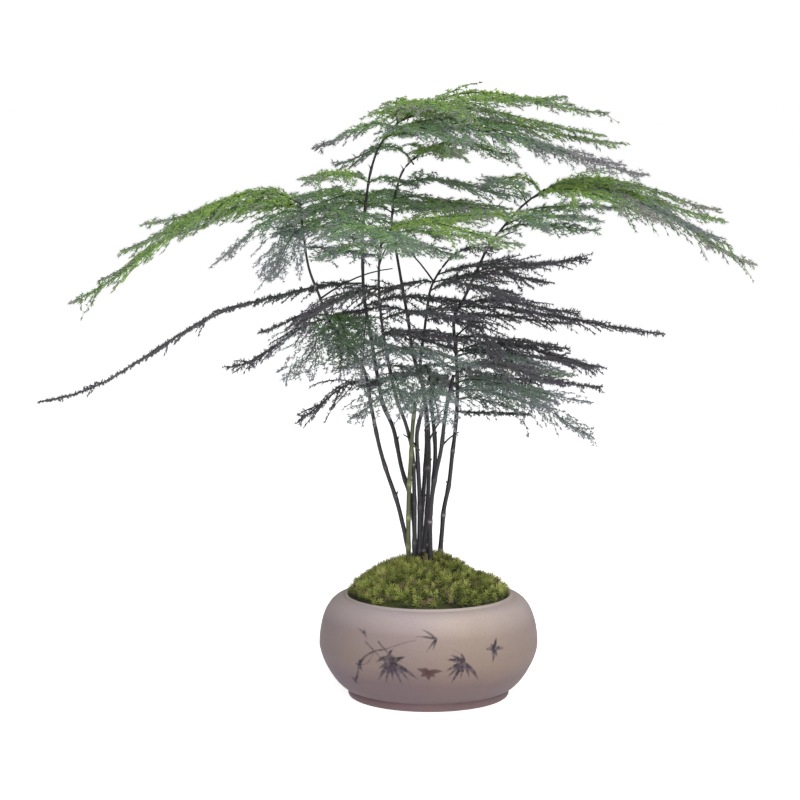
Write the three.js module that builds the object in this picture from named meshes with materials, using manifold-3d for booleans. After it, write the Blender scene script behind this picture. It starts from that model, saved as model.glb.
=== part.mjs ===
// Potted lace fern: a low stoneware bowl with soil and moss, wiry dark stems and flat, lacy, level fronds.
// Millimetres, +Z up. The origin is the centre of the bowl's foot, on the surface that it stands on.
// The viewer of the photograph stands on the -Y side and has +X to the right.
// It needs the npm packages three and manifold-3d. The default export is a group of named meshes.
import * as THREE from 'three';
import { mergeVertices } from 'three/addons/utils/BufferGeometryUtils.js';
import Module from 'manifold-3d';

const wasm = await Module();
wasm.setup();

// Driving dimensions of the bowl
const BELLY_RADIUS = 65;
const BELLY_HEIGHT = 31;
const FOOT_RADIUS = 48;
const FOOT_HEIGHT = 4.6;
const FOOT_CHAMFER = 1.4;
const WAIST_RADIUS = 49;
const WAIST_HEIGHT = 5.4;
const SHOULDER_RADIUS = 50;
const SHOULDER_HEIGHT = 60.2;
const LIP_HEIGHT = 61.4;
const MOUTH_RADIUS = 47.8;
const NECK_HEIGHT = 56;
const WALL = 5;
const FLOOR = 7;
const LOWER_BULGE = 1.42; // superellipse exponents of the belly, below and above its widest ring
const UPPER_BULGE = 2.16;
const BOWL_SIDES = 36;
const SOIL_SIDES = 24;
const DRAIN_RADIUS = 2.5;
const DRAIN_PLACE = 22; // distance of the three drain holes from the axis
const DRAIN_SIDES = 12;
const DRAINS = 3;

// Driving dimensions of the fill
const GAP = 0.3; // between pieces that touch on the real plant
const STEM_HOLE_GAP = 0.4; // round a stem, in the soil and the moss
const SOIL_TOP = 56.2;
const MOSS_EDGE_HEIGHT = 60.8;
const MOSS_TOP = 82.6;
const MOSS_ROUNDNESS = 0.9;
const MOSS_RINGS = 7;
const MOSS_RING_CROWDING = 0.85; // under 1, the rings lie closer together towards the edge
const MOSS_SIDES = 32;
const TUFT_HEIGHT = 2.6;
const TUFT_SPREAD = 0.8; // how far the heights of the tufts differ
const TUFT_LEAN_OUT = 0.6; // shares of a tuft's height: outward, and lost in height, at the moss's edge
const TUFT_LEAN_LOSS = 0.4;

// Driving dimensions of the plant
const ROOT_DEPTH = 38; // height above the foot at which the stems start in the soil
const STEM_BASE_RADIUS = 1.35;
const STEM_TIP_RADIUS = 0.55;
const STEM_SIDES = 6;
const STEM_STEP = 16; // length of one stretch of stem
const KNUCKLE = 1.2; // swelling of every third ring of a stem
const STEM_SAMPLE = 0.002; // share of a stem's length between two places that are looked at
const SEAT_WINDOW = 0.06; // share of a stem on either side of a frond's root that the root keeps clear of
const SEAT_CLEARANCE = 0.42; // from the stem's side to the start of a frond's rib
const BLADE = 0.8; // thickness of a frond
const STEEPEST = 1.5; // most that a steep frond is thickened upwards, so that its blade keeps its thickness
const RIB_HALF_WIDTH = 0.75;
const RIB_TIP_HALF_WIDTH = 0.35;
const LEAFLET_PITCH = 6.85; // along the rib, alternating from side to side
const FIRST_LEAFLET = 0.09; // shares of the rib's length
const LAST_LEAFLET = 0.96;
const LEAFLET_HALF_WIDTH = 0.95;
const LEAFLET_NECK_HALF_WIDTH = 0.45; // beside a side needle
const LEAFLET_ROOT_ANGLE = 58; // degrees from the rib, at the frond's root and at its tip
const LEAFLET_TIP_ANGLE = 30;
const ANGLE_SPREAD = 5; // degrees
const SHORTEST_LEAFLET = 2.5;
const LONGEST_SHARE = 0.62; // longest leaflet, as a share of the frond's width
const ROOT_SHARE = 0.45; // of that length, at the frond's root
const WIDEST_AT = 0.2; // share of the rib at which the frond is widest
const TIP_SHARE = 0.12;
const LENGTH_SPREAD = 0.4;
const TOOTH = 3.1; // how far a leaflet's side needle stands out
const TOOTH_SHARE = 0.28; // longest side needle, as a share of its leaflet
const TOOTH_REACH = 0.75; // a side needle leans forward, so it reaches out less far than it is long
const SHORTEST_TOOTH = 1;
const SHRINK = 0.8; // how much smaller a leaflet or its side needles get at each try
const FORK_FROM = 8; // shortest leaflet with a side needle, and with a second one
const SECOND_FORK_FROM = 28;
const FORKS = { outerTip: 0.62, outerNeck: 0.5, innerNeck: 0.6, innerTip: 0.72, innerShare: 0.7 };
const ARCH_SCALE = 6.75; // makes the top of t * (1 - t) ** 2 count as one arch
const EDGE_DROOP = 0.1; // drop of a frond's edges, as a share of its half width
const SWAY = 0.03; // sideways bend of a rib, as a share of the frond's width
const SWAY_TURN = 2.4; // turns the sway from one frond to the next
const AIR = 0.8; // least clear air between leaflets of two fronds
const LEAFLET_AIR = 0.5; // the same between two leaflets of one frond
const TRIM_STEP = 1.2; // distance between the places at which a leaflet is tested against its neighbours
const FLATNESS = 1.8; // a frond is thin, so heights count this much more when clear air is measured

// Stems: name, colour, and the points that each one passes through, from the moss up.
const STEMS = {
  a: ['dark', [[-12, -3, 86], [-16, -4, 106], [-19, -5, 118], [-25, -7, 136], [-29, -8, 150],
    [-34, -10, 175], [-38, -11, 196], [-49, -12, 212], [-58, -13, 225], [-64, -13, 240], [-70, -13, 256],
    [-73, -12, 275], [-75, -11, 294]]],
  b: ['dark', [[-8, 6, 86], [-10, 7, 114], [-16, 8, 135], [-21, 8, 159], [-27, 9, 173], [-30, 9, 188],
    [-34, 10, 212], [-38, 10, 235], [-39, 10, 254], [-39, 10, 274], [-37, 9, 294], [-34, 8, 312],
    [-29, 7, 326], [-21, 6, 337], [-10, 5, 345]]],
  c: ['dark', [[-10, -9, 86], [-11, -10, 119], [-11, -12, 149], [-13, -14, 164], [-19, -17, 180],
    [-24, -20, 203], [-27, -22, 221], [-29, -24, 241], [-29, -26, 261], [-27, -27, 279]]],
  d: ['olive', [[-10, 1, 86], [-10, 0, 112], [-11, -2, 130], [-11, -5, 146], [-9, -9, 164], [-8, -13, 177]]],
  e: ['dark', [[-7, -5, 86], [-6, -6, 119], [-7, -7, 143], [-7, -12, 159], [-4, -19, 174]]],
  f: ['dark', [[-5, 10, 86], [-4, 12, 106], [-2, 16, 133], [-1, 19, 156], [-3, 22, 180], [-9, 24, 201],
    [-12, 26, 221], [-15, 28, 238], [-19, 29, 261], [-22, 30, 278], [-19, 30, 300], [-15, 30, 311],
    [-8, 29, 319]]],
  g: ['dark', [[-3, -2, 86], [-1, -2, 112], [0, -1, 132], [0, 0, 153], [-2, 1, 177], [-5, 2, 198],
    [-3, 1, 215], [-1, 0, 231], [1, -1, 243], [6, -2, 253], [13, -3, 262]]],
  h: ['dark', [[-1, 4, 86], [1, 6, 107], [3, 9, 128], [4, 12, 145], [3, 15, 160], [1, 18, 176]]],
  i: ['dark', [[1, -8, 86], [1, -11, 113], [4, -15, 135], [7, -18, 150], [9, -21, 168], [11, -24, 181],
    [14, -27, 195]]],
  j: ['dark', [[7, 1, 86], [8, 1, 99], [9, 2, 111], [12, 3, 126], [14, 4, 144], [16, 5, 161], [17, 6, 182],
    [16, 6, 206], [15, 7, 225], [21, 7, 237], [28, 8, 252], [35, 8, 267], [45, 8, 280], [56, 7, 292],
    [68, 6, 301]]],
};

// Fronds: name, stem, height of the root, reach of the tip from the root (x, y, z), rise of the rib above the
// straight line to its tip (most at a third of the way), full width, bank in degrees and colour. A positive
// bank raises the side on the left, looking along the rib.
const FRONDS = [
  ['top_right', 'b', 345, [112, -15, 1], 12, 46, 10, 'bright'],
  ['top_right_back', 'b', 343.5, [95, 66, 10], 5, 46, 6, 'bright'],
  ['top_left_front', 'b', 338, [2, -58, 11], 5, 42, 0, 'bright'],
  ['top_back', 'b', 339, [20, 95, 10], 8, 48, 0, 'bright'],
  ['top_front', 'b', 342, [36, -84, 4], 8, 46, 0, 'bright'],
  ['upper_left', 'b', 336, [-46, 24, -13], 5, 38, -8, 'green'],
  ['upper_right', 'b', 335, [137, 29, -9], 9, 58, 12, 'bright'],
  ['upper_right_low', 'b', 330, [150, -32, -21], 14, 56, 20, 'green'],
  ['upper_front', 'b', 328, [48, -84, 2], 8, 48, 0, 'green'],
  ['third_right', 'f', 319, [58, -19, 2], 8, 46, 8, 'bright'],
  ['third_left', 'f', 316, [-44, 4, -3], 9, 40, -8, 'green'],
  ['third_front', 'f', 318, [24, -80, 4], 5, 46, 0, 'bright'],
  ['crown_left_front', 'b', 303, [-34, -49, 4], 5, 50, -6, 'bright'],
  ['left_long', 'a', 294, [-133, -9, -56], 19, 56, -15, 'bright'],
  ['left_back', 'a', 291, [-110, 56, -30], 9, 54, -10, 'bright'],
  ['left_front', 'a', 287, [-48, -36, -28], 6, 30, -8, 'green'],
  ['left_hanging', 'a', 274, [-18, -50, -22], 8, 52, 0, 'pale'],
  ['crown_left_back', 'b', 290, [-54, 38, 1], 6, 54, -12, 'green'],
  ['crown_back', 'b', 285, [20, 95, 4], 9, 54, 0, 'green'],
  ['crown_right', 'c', 278.5, [80, -4, 11], 3, 52, 12, 'bright'],
  ['crown_right_front', 'c', 275, [76, -50, -2], 9, 56, 12, 'bright'],
  ['crown_front_left', 'c', 272, [-27, -52, 4], 7, 52, -6, 'green'],
  ['crown_front', 'c', 267, [16, -78, 3], 9, 54, 0, 'green'],
  ['crown_back_right', 'f', 300, [72, 34, -8], 6, 54, 10, 'green'],
  ['right_long', 'j', 301, [122, -11, -44], 15, 58, 15, 'bright'],
  ['right_front', 'j', 297, [70, -58, -12], 7, 52, 8, 'bright'],
  ['right_back', 'j', 295, [117, 50, -17], 11, 56, 8, 'bright'],
  ['right_crest', 'j', 293, [-22, -30, 16], 4, 40, 0, 'green'],
  ['right_low', 'j', 280, [50, -46, 6], 4, 46, 6, 'green'],
  ['lower_left_long', 'b', 244, [-186, -45, -66], 11, 26, -10, 'dark'],
  ['middle_left', 'f', 240, [-85, 3, -27], 6, 46, -14, 'dark'],
  ['middle_left_front', 'c', 238, [-44, -46, -10], 7, 50, -8, 'dark'],
  ['middle_right', 'g', 245, [88, -14, 15], 1, 54, 16, 'dark'],
  ['middle_right_front', 'g', 240, [52, -44, -2], 6, 46, 10, 'dark'],
  ['middle_right_long', 'f', 225, [154, 14, -13], 8, 40, 10, 'dark'],
  ['middle_front', 'j', 222, [25, -54, -16], 7, 48, 6, 'dark'],
  ['lower_left', 'a', 224, [-57, -12, -26], 5, 36, -14, 'dark'],
  ['lower_left_front', 'a', 219, [-22, -46, -22], 9, 54, -6, 'pale'],
  ['lower_front_left', 'b', 220, [-3, -68, -26], 11, 58, 0, 'pale'],
  ['bottom_left', 'a', 188, [-38, -20, -12], 5, 38, -16, 'dark'],
  ['lower_right', 'j', 204, [86, 12, -11], 7, 52, 14, 'dark'],
  ['lower_right_front', 'i', 194.5, [59, -43, 2], 8, 50, 12, 'dark'],
  ['bottom_right', 'j', 190, [77, -36, -31], 8, 54, 22, 'pale'],
  ['bottom_right_front', 'i', 184, [79, -20, -3], 6, 42, 12, 'pale'],
  ['bottom_front_left', 'd', 176.5, [-35, -42, -3], 11, 48, -6, 'pale'],
  ['bottom_front', 'e', 173.5, [9, -58, 1], 14, 52, 0, 'pale'],
  ['bottom_back', 'h', 175.5, [13, 74, -2], 9, 52, 0, 'dark'],
];

const SEED = 20;

// Colours, taken by eye
const COLOURS = {
  clay: 0xb5a192, soil: 0x33261b, moss: 0x6d7a22, dark: 0x1d1a18, olive: 0x5a6b2e,
};
const FROND_COLOURS = { bright: 0x5f8f2c, green: 0x477a38, pale: 0x5f7f5f, dark: 0x333d36 };

// A small seeded generator, so that the same plant grows each time.
function randomFrom(seed) {
  let state = seed;
  return () => {
    state = (state * 1664525 + 1013904223) % 4294967296;
    return state / 4294967296;
  };
}

function bare(geometry) {
  geometry.deleteAttribute('normal');
  geometry.deleteAttribute('uv');
  return mergeVertices(geometry, 1e-4);
}

function solidOf(geometry) {
  const closed = bare(geometry);
  return new wasm.Manifold(new wasm.Mesh({
    numProp: 3,
    vertProperties: new Float32Array(closed.attributes.position.array),
    triVerts: new Uint32Array(closed.index.array),
  }));
}

function geometryOf(solid) {
  const mesh = solid.getMesh();
  const geometry = new THREE.BufferGeometry();
  geometry.setAttribute('position', new THREE.BufferAttribute(new Float32Array(mesh.vertProperties), 3));
  geometry.setIndex(new THREE.BufferAttribute(new Uint32Array(mesh.triVerts), 1));
  geometry.computeVertexNormals();
  return geometry;
}

function meshOf(name, geometry, colour, roughness) {
  const look = { color: colour, roughness, metalness: 0, flatShading: true };
  const mesh = new THREE.Mesh(geometry, new THREE.MeshStandardMaterial(look));
  mesh.name = name;
  return mesh;
}

// A solid of revolution about Z from [radius, height] pairs.
function turned(profile, sides) {
  const lathe = new THREE.LatheGeometry(profile.map(([r, z]) => new THREE.Vector2(r, z)), sides);
  return lathe.rotateX(Math.PI / 2);
}

// One quarter of the belly: step 0 is the end at (radius, height), step 1 is the widest ring.
function bellyPoint(step, radius, height, exponent) {
  const angle = step * Math.PI / 2;
  const out = Math.sin(angle) ** (2 / exponent);
  const along = Math.cos(angle) ** (2 / exponent);
  return [radius + (BELLY_RADIUS - radius) * out, BELLY_HEIGHT + (height - BELLY_HEIGHT) * along];
}

const LOWER_STEPS = [0, 0.2, 0.4, 0.6, 0.8, 1];
const UPPER_STEPS = [0.8, 0.6, 0.42, 0.26, 0.12, 0];

function outerProfile() {
  const underside = [[0, 0], [FOOT_RADIUS - FOOT_CHAMFER, 0]];
  const foot = [...underside, [FOOT_RADIUS, FOOT_CHAMFER], [FOOT_RADIUS, FOOT_HEIGHT]];
  const lower = LOWER_STEPS.map((s) => bellyPoint(s, WAIST_RADIUS, WAIST_HEIGHT, LOWER_BULGE));
  const upper = UPPER_STEPS.map((s) => bellyPoint(s, SHOULDER_RADIUS, SHOULDER_HEIGHT, UPPER_BULGE));
  const lip = [[SHOULDER_RADIUS - 0.8, LIP_HEIGHT], [MOUTH_RADIUS + 0.4, LIP_HEIGHT - 0.1]];
  return [...foot, ...lower, ...upper, ...lip];
}

// The hollow of the bowl from its floor up to its neck; inset moves it inward, for what fills it.
function innerWall(inset) {
  const lower = [0.3, 0.6, 1].map((s) => bellyPoint(s, WAIST_RADIUS, WAIST_HEIGHT, LOWER_BULGE));
  const upper = [0.7, 0.45].map((s) => bellyPoint(s, SHOULDER_RADIUS, SHOULDER_HEIGHT, UPPER_BULGE));
  return [...lower, ...upper].map(([r, z]) => [r - WALL - inset, z]);
}

function bowl() {
  const mouth = [[MOUTH_RADIUS, LIP_HEIGHT - 0.7], [MOUTH_RADIUS, NECK_HEIGHT]];
  const hollow = innerWall(0).reverse();
  const floor = [[hollow.at(-1)[0] - 4, FLOOR], [0, FLOOR]];
  let solid = solidOf(turned([...outerProfile(), ...mouth, ...hollow, ...floor], BOWL_SIDES));
  for (let k = 0; k < DRAINS; k += 1) {
    const angle = (k / DRAINS) * 2 * Math.PI + Math.PI / 2;
    const drain = new THREE.CylinderGeometry(DRAIN_RADIUS, DRAIN_RADIUS, 3 * FLOOR, DRAIN_SIDES);
    drain.rotateX(Math.PI / 2);
    drain.translate(DRAIN_PLACE * Math.cos(angle), DRAIN_PLACE * Math.sin(angle), FLOOR / 2);
    solid = solid.subtract(solidOf(drain));
  }
  return geometryOf(solid);
}

function soilBody() {
  const wall = innerWall(GAP);
  const edge = [[wall[0][0] - 4, FLOOR + GAP], ...wall, [MOUTH_RADIUS - GAP, NECK_HEIGHT - GAP]];
  return turned([[0, FLOOR + GAP], ...edge, [MOUTH_RADIUS - GAP, SOIL_TOP], [0, SOIL_TOP]], SOIL_SIDES);
}

// Height of the moss at a distance from the axis.
function mossHeight(radius) {
  const share = Math.min(1, radius / (MOUTH_RADIUS - GAP));
  return MOSS_EDGE_HEIGHT + (MOSS_TOP - MOSS_EDGE_HEIGHT) * (1 - share ** 2) ** MOSS_ROUNDNESS;
}

// The cushion: every other point of its upper net stands up as the tip of a tuft.
function mossBody(random) {
  const edge = MOUTH_RADIUS - GAP;
  const rings = [];
  for (let ring = 0; ring <= MOSS_RINGS; ring += 1) {
    const radius = edge * (1 - ring / MOSS_RINGS) ** MOSS_RING_CROWDING;
    rings.push([radius, mossHeight(radius)]);
  }
  const profile = [[0, SOIL_TOP + GAP], [edge, SOIL_TOP + GAP], ...rings];
  const body = bare(turned(profile, MOSS_SIDES));
  const place = body.attributes.position;
  for (let k = 0; k < place.count; k += 1) {
    const radius = Math.hypot(place.getX(k), place.getY(k));
    const ring = rings.findIndex(([r, z]) => Math.hypot(r - radius, z - place.getZ(k)) < 0.01);
    if (ring < 1) continue;
    const turn = Math.atan2(place.getY(k), place.getX(k)) / (2 * Math.PI);
    const spoke = Math.round((turn + 1) * MOSS_SIDES);
    const lift = ((ring + spoke) % 2 ? TUFT_HEIGHT : 0) - TUFT_SPREAD * random();
    const lean = radius / edge;
    const scale = 1 + (lift * TUFT_LEAN_OUT * lean) / Math.max(radius, 1);
    const rise = lift * (1 - TUFT_LEAN_LOSS * lean);
    place.setXYZ(k, place.getX(k) * scale, place.getY(k) * scale, place.getZ(k) + rise);
  }
  return body;
}

// The line of a stem from its start in the soil to its tip, in straight stretches of equal length.
function stemLine(points) {
  const [x, y] = points[0];
  const buried = [new THREE.Vector3(x, y, ROOT_DEPTH), new THREE.Vector3(x, y, SOIL_TOP + 6)];
  const free = points.map((point) => new THREE.Vector3(...point));
  const smooth = new THREE.CatmullRomCurve3([...buried, ...free], false, 'centripetal');
  const stops = smooth.getSpacedPoints(Math.max(6, Math.round(smooth.getLength() / STEM_STEP)));
  const line = new THREE.CurvePath();
  for (let k = 1; k < stops.length; k += 1) line.add(new THREE.LineCurve3(stops[k - 1], stops[k]));
  return line;
}

// Radius of a stem at a share of its length: it tapers, and swells at every third ring.
function stemRadius(line, share) {
  const place = share * line.curves.length;
  const ring = Math.round(place);
  const swell = ring % 3 === 1 ? (KNUCKLE - 1) * (1 - Math.abs(place - ring)) : 0;
  return (STEM_BASE_RADIUS + (STEM_TIP_RADIUS - STEM_BASE_RADIUS) * share) * (1 + swell);
}

// A cylinder bent along a line. extra widens it, for the hole that a stem stands in.
function bentRod(line, extra) {
  const rod = bare(new THREE.CylinderGeometry(1, 1, 1, STEM_SIDES, line.curves.length));
  const place = rod.attributes.position;
  for (let k = 0; k < place.count; k += 1) {
    const share = place.getY(k) + 0.5;
    const radius = stemRadius(line, share) + extra;
    const centre = line.getPointAt(share);
    const along = line.getTangentAt(share);
    const side = new THREE.Vector3(along.z, 0, -along.x).normalize();
    const front = new THREE.Vector3().crossVectors(along, side);
    centre.addScaledVector(side, place.getX(k) * radius).addScaledVector(front, -place.getZ(k) * radius);
    place.setXYZ(k, centre.x, centre.y, centre.z);
  }
  return rod;
}

// Everything that has grown so far, as points with a reach, so that later leaflets can keep clear of it.
const grown = [];

function isCrowded(point, reach, owner) {
  return grown.some((other) => {
    if (other.owner === owner) return false;
    const need = other.reach + reach + AIR;
    const dx = point.x - other.point.x;
    const dy = point.y - other.point.y;
    if (Math.abs(dx) > need || Math.abs(dy) > need) return false;
    const dz = (point.z - other.point.z) * other.flatness;
    return dx * dx + dy * dy + dz * dz < need * need;
  });
}

function recordStem(name, line) {
  const count = Math.round(line.getLength());
  for (let k = 0; k <= count; k += 1) {
    const point = line.getPointAt(k / count);
    grown.push({ point, reach: stemRadius(line, k / count), owner: `stem_${name}`, flatness: 1 });
  }
}

// Where a frond's rib starts: on the stem at its height, moved out until it clears the stem's side or end.
function rootOf(line, height, reach) {
  let share = 0;
  while (share < 1 && line.getPointAt(share).z < height) share += STEM_SAMPLE;
  share = Math.min(share, 1);
  const start = line.getPointAt(share);
  const out = new THREE.Vector3(reach[0], reach[1], 0).normalize();
  const along = line.getTangentAt(share);
  const ahead = share === 1 ? Math.max(0, out.dot(along)) : 0;
  const lean = Math.hypot(along.x, along.y);
  const clear = stemRadius(line, share) * (1 - ahead) + SEAT_CLEARANCE + (BLADE / 2) * lean;
  const near = [];
  const last = Math.min(1, share + SEAT_WINDOW);
  for (let s = Math.max(0, share - SEAT_WINDOW); s <= last; s += STEM_SAMPLE) near.push(line.getPointAt(s));
  while (near.some((point) => point.distanceTo(start) < clear)) start.addScaledVector(out, 0.05);
  return start;
}

// The curved sheet that a frond lies in: u along the rib's plan, v across it, w through its thickness.
function frondSheet(root, reach, arch, width, bank, sway) {
  const length = Math.hypot(reach[0], reach[1]);
  const [cos, sin] = [reach[0] / length, reach[1] / length];
  const tilt = Math.tan(THREE.MathUtils.degToRad(bank));
  return {
    length,
    slope: Math.hypot(length, reach[2]) / length,
    at(u, v, w = 0) {
      const t = u / length;
      const side = v + 4 * sway * t * (1 - t);
      const line = reach[2] * t + ARCH_SCALE * arch * t * (1 - t) ** 2;
      const z = root.z + line + v * tilt - EDGE_DROOP * 2 * v * v / width + w;
      return new THREE.Vector3(root.x + cos * u - sin * side, root.y + sin * u + cos * side, z);
    },
  };
}

// Length of the leaflets along a frond: short at the root, longest where it is widest, then down to the tip.
function leafletLength(t, width) {
  if (t < WIDEST_AT) return LONGEST_SHARE * width * (ROOT_SHARE + (1 - ROOT_SHARE) * t / WIDEST_AT);
  return LONGEST_SHARE * width * (1 - (1 - TIP_SHARE) * (t - WIDEST_AT) / (1 - WIDEST_AT));
}

function planLeaflets(sheet, width, random) {
  const count = Math.round((sheet.length * sheet.slope) / LEAFLET_PITCH);
  const leaflets = [];
  for (let k = 0; k < count; k += 1) {
    const t = FIRST_LEAFLET + (LAST_LEAFLET - FIRST_LEAFLET) * (k + 0.5) / count;
    const turn = LEAFLET_ROOT_ANGLE + (LEAFLET_TIP_ANGLE - LEAFLET_ROOT_ANGLE) * t;
    const angle = THREE.MathUtils.degToRad(turn + ANGLE_SPREAD * (random() - 0.5));
    const length = leafletLength(t, width) * (1 + LENGTH_SPREAD * (random() - 0.5));
    leaflets.push({ u: t * sheet.length, side: k % 2 ? 1 : -1, angle, length });
  }
  return leaflets;
}

// A leaflet stops short of what has already grown in its way.
function trimLeaflets(sheet, leaflets, owner) {
  const step = TRIM_STEP;
  for (const leaflet of leaflets) {
    const reach = Math.min(TOOTH, TOOTH_SHARE * leaflet.length) * TOOTH_REACH;
    let kept = 0;
    while (kept < leaflet.length) {
      const u = leaflet.u + kept * Math.cos(leaflet.angle) / sheet.slope;
      const v = leaflet.side * kept * Math.sin(leaflet.angle);
      if (isCrowded(sheet.at(u, v), reach, owner)) break;
      kept += step;
    }
    leaflet.length = Math.min(leaflet.length, kept - step);
    for (let s = 0; s < leaflet.length; s += step) {
      const u = leaflet.u + s * Math.cos(leaflet.angle) / sheet.slope;
      const v = leaflet.side * s * Math.sin(leaflet.angle);
      grown.push({ point: sheet.at(u, v), reach, owner, flatness: FLATNESS });
    }
  }
  return leaflets.filter((leaflet) => leaflet.length > SHORTEST_LEAFLET);
}

function ribHalfWidth(t) {
  return RIB_HALF_WIDTH + (RIB_TIP_HALF_WIDTH - RIB_HALF_WIDTH) * t;
}

// The corners of one leaflet, from the root side of its base round its tip to the far side of its base.
// extra widens it on every side, to see whether there is clear air round it.
function leafletCorners(leaflet, sheet, extra = 0) {
  const { u, side, angle, length, tooth } = leaflet;
  const rib = ribHalfWidth(u / sheet.length);
  const half = (LEAFLET_HALF_WIDTH + extra) / sheet.slope;
  const neck = LEAFLET_NECK_HALF_WIDTH + extra;
  const corner = (along, back) => new THREE.Vector2(
    u + (along * Math.cos(angle) - back * Math.sin(angle)) / sheet.slope,
    side * (rib + along * Math.sin(angle) + back * Math.cos(angle)),
  );
  const corners = [new THREE.Vector2(u - half, side * rib)];
  if (length > FORK_FROM && tooth > 0) {
    corners.push(corner(FORKS.outerTip * length, tooth + extra), corner(FORKS.outerNeck * length, neck));
  }
  corners.push(corner(length + extra, 0));
  if (length > SECOND_FORK_FROM && tooth > 0) {
    const inner = FORKS.innerShare * tooth + extra;
    corners.push(corner(FORKS.innerNeck * length, -neck), corner(FORKS.innerTip * length, -inner));
  }
  corners.push(new THREE.Vector2(u + half, side * rib));
  return corners;
}

// True if the straight lines ab and cd cross.
function doCross(a, b, c, d) {
  const turn = (p, q, r) => Math.sign((q.x - p.x) * (r.y - p.y) - (q.y - p.y) * (r.x - p.x));
  return turn(a, b, c) !== turn(a, b, d) && turn(c, d, a) !== turn(c, d, b);
}

function doMeet(corners, others) {
  for (let j = 1; j < corners.length; j += 1) {
    for (let k = 1; k < others.length; k += 1) {
      if (doCross(corners[j - 1], corners[j], others[k - 1], others[k])) return true;
    }
  }
  return false;
}

// The outlines of the leaflets on one side. A leaflet that would touch one before it first gets shorter side
// needles, then none, and then grows shorter itself.
function sideOutlines(leaflets, sheet) {
  const placed = [];
  for (const leaflet of leaflets) {
    leaflet.tooth = Math.min(TOOTH, TOOTH_SHARE * leaflet.length);
    const meets = () => {
      const wide = leafletCorners(leaflet, sheet, LEAFLET_AIR);
      return placed.some((others) => doMeet(wide, others));
    };
    while (leaflet.length > SHORTEST_LEAFLET && meets()) {
      if (leaflet.tooth > SHORTEST_TOOTH) leaflet.tooth *= SHRINK;
      else if (leaflet.tooth > 0) leaflet.tooth = 0;
      else leaflet.length *= SHRINK;
    }
    if (leaflet.length > SHORTEST_LEAFLET) placed.push(leafletCorners(leaflet, sheet));
  }
  return placed;
}

// Faces of the rib between its two edges, as points of either edge in turn. Each edge runs from root to tip.
function ribFaces(right, left) {
  const faces = [];
  let [i, j] = [0, 0];
  while (i < right.length - 1 || j < left.length - 1) {
    const isRight = j === left.length - 1 || (i < right.length - 1 && right[i + 1].x <= left[j + 1].x);
    if (isRight) faces.push([right[i], right[i + 1], left[j]]);
    else faces.push([right[i], left[j + 1], left[j]]);
    if (isRight) i += 1;
    else j += 1;
  }
  return faces.filter(([a, b, c]) => a !== b && b !== c);
}

// Faces of one leaflet, turned the same way round as its corners.
function leafletFaces(corners) {
  return THREE.ShapeUtils.triangulateShape(corners, []).map((face) => face.map((k) => corners[k]));
}

function frondBlade(sheet, leaflets) {
  const left = sideOutlines(leaflets.filter((leaflet) => leaflet.side === 1), sheet);
  const right = sideOutlines(leaflets.filter((leaflet) => leaflet.side === -1), sheet);
  const tip = new THREE.Vector2(sheet.length, 0);
  const edges = [[1, left], [-1, right]].map(([side, outlines]) => {
    const start = new THREE.Vector2(0, side * RIB_HALF_WIDTH);
    return [start, ...outlines.flatMap((corners) => [corners[0], corners.at(-1)]), tip];
  });
  const leftOutlines = left.map((corners) => [...corners].reverse());
  const flat = [...ribFaces(edges[1], edges[0]), ...[...right, ...leftOutlines].flatMap(leafletFaces)];
  const outline = [edges[1][0], ...right.flat(), tip, ...leftOutlines.reverse().flat(), edges[0][0]];
  return bladeOf(outline, flat, sheet);
}

// The solid between an upper and a lower copy of flat faces, bent into the sheet.
function bladeOf(outline, flat, sheet) {
  const half = (BLADE / 2) * Math.min(STEEPEST, sheet.slope);
  const numbers = new Map(outline.map((point, k) => [point, k]));
  const count = outline.length;
  const places = [half, -half].flatMap((w) => outline.flatMap(({ x, y }) => sheet.at(x, y, w).toArray()));
  const faces = [];
  for (const face of flat) {
    const [a, b, c] = face.map((point) => numbers.get(point));
    faces.push(a, b, c, count + a, count + c, count + b);
  }
  for (let k = 0; k < count; k += 1) {
    const next = (k + 1) % count;
    faces.push(count + k, count + next, next, count + k, next, k);
  }
  const blade = new THREE.BufferGeometry();
  blade.setAttribute('position', new THREE.Float32BufferAttribute(places, 3));
  blade.setIndex(faces);
  blade.computeVertexNormals();
  return blade;
}

const plant = new THREE.Group();
const random = randomFrom(SEED);
const lines = {};
let soil = solidOf(soilBody());
let moss = solidOf(mossBody(random));
const stemMeshes = [];
for (const [name, [colour, points]] of Object.entries(STEMS)) {
  lines[name] = stemLine(points);
  recordStem(name, lines[name]);
  const hole = solidOf(bentRod(lines[name], STEM_HOLE_GAP));
  soil = soil.subtract(hole);
  moss = moss.subtract(hole);
  stemMeshes.push(meshOf(`stem_${name}`, bentRod(lines[name], 0), COLOURS[colour], 0.55));
}
plant.add(meshOf('pot', bowl(), COLOURS.clay, 0.85));
plant.add(meshOf('soil', geometryOf(soil), COLOURS.soil, 0.95));
plant.add(meshOf('moss', geometryOf(moss), COLOURS.moss, 0.95));
for (const mesh of stemMeshes) plant.add(mesh);

// All ribs are laid out before the first leaflet, so that no leaflet grows into a rib.
const sprays = FRONDS.map(([name, stem, height, reach, arch, width, bank, colour], index) => {
  const root = rootOf(lines[stem], height, reach);
  const sheet = frondSheet(root, reach, arch, width, bank, SWAY * width * Math.sin(SWAY_TURN * index));
  for (let u = 0; u < sheet.length; u += TRIM_STEP) {
    grown.push({ point: sheet.at(u, 0), reach: RIB_HALF_WIDTH, owner: name, flatness: FLATNESS });
  }
  return { name, sheet, width, colour };
});
for (const { name, sheet, width, colour } of sprays) {
  const leaflets = trimLeaflets(sheet, planLeaflets(sheet, width, random), name);
  plant.add(meshOf(`frond_${name}`, frondBlade(sheet, leaflets), FROND_COLOURS[colour], 0.7));
}

export default plant;
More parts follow.
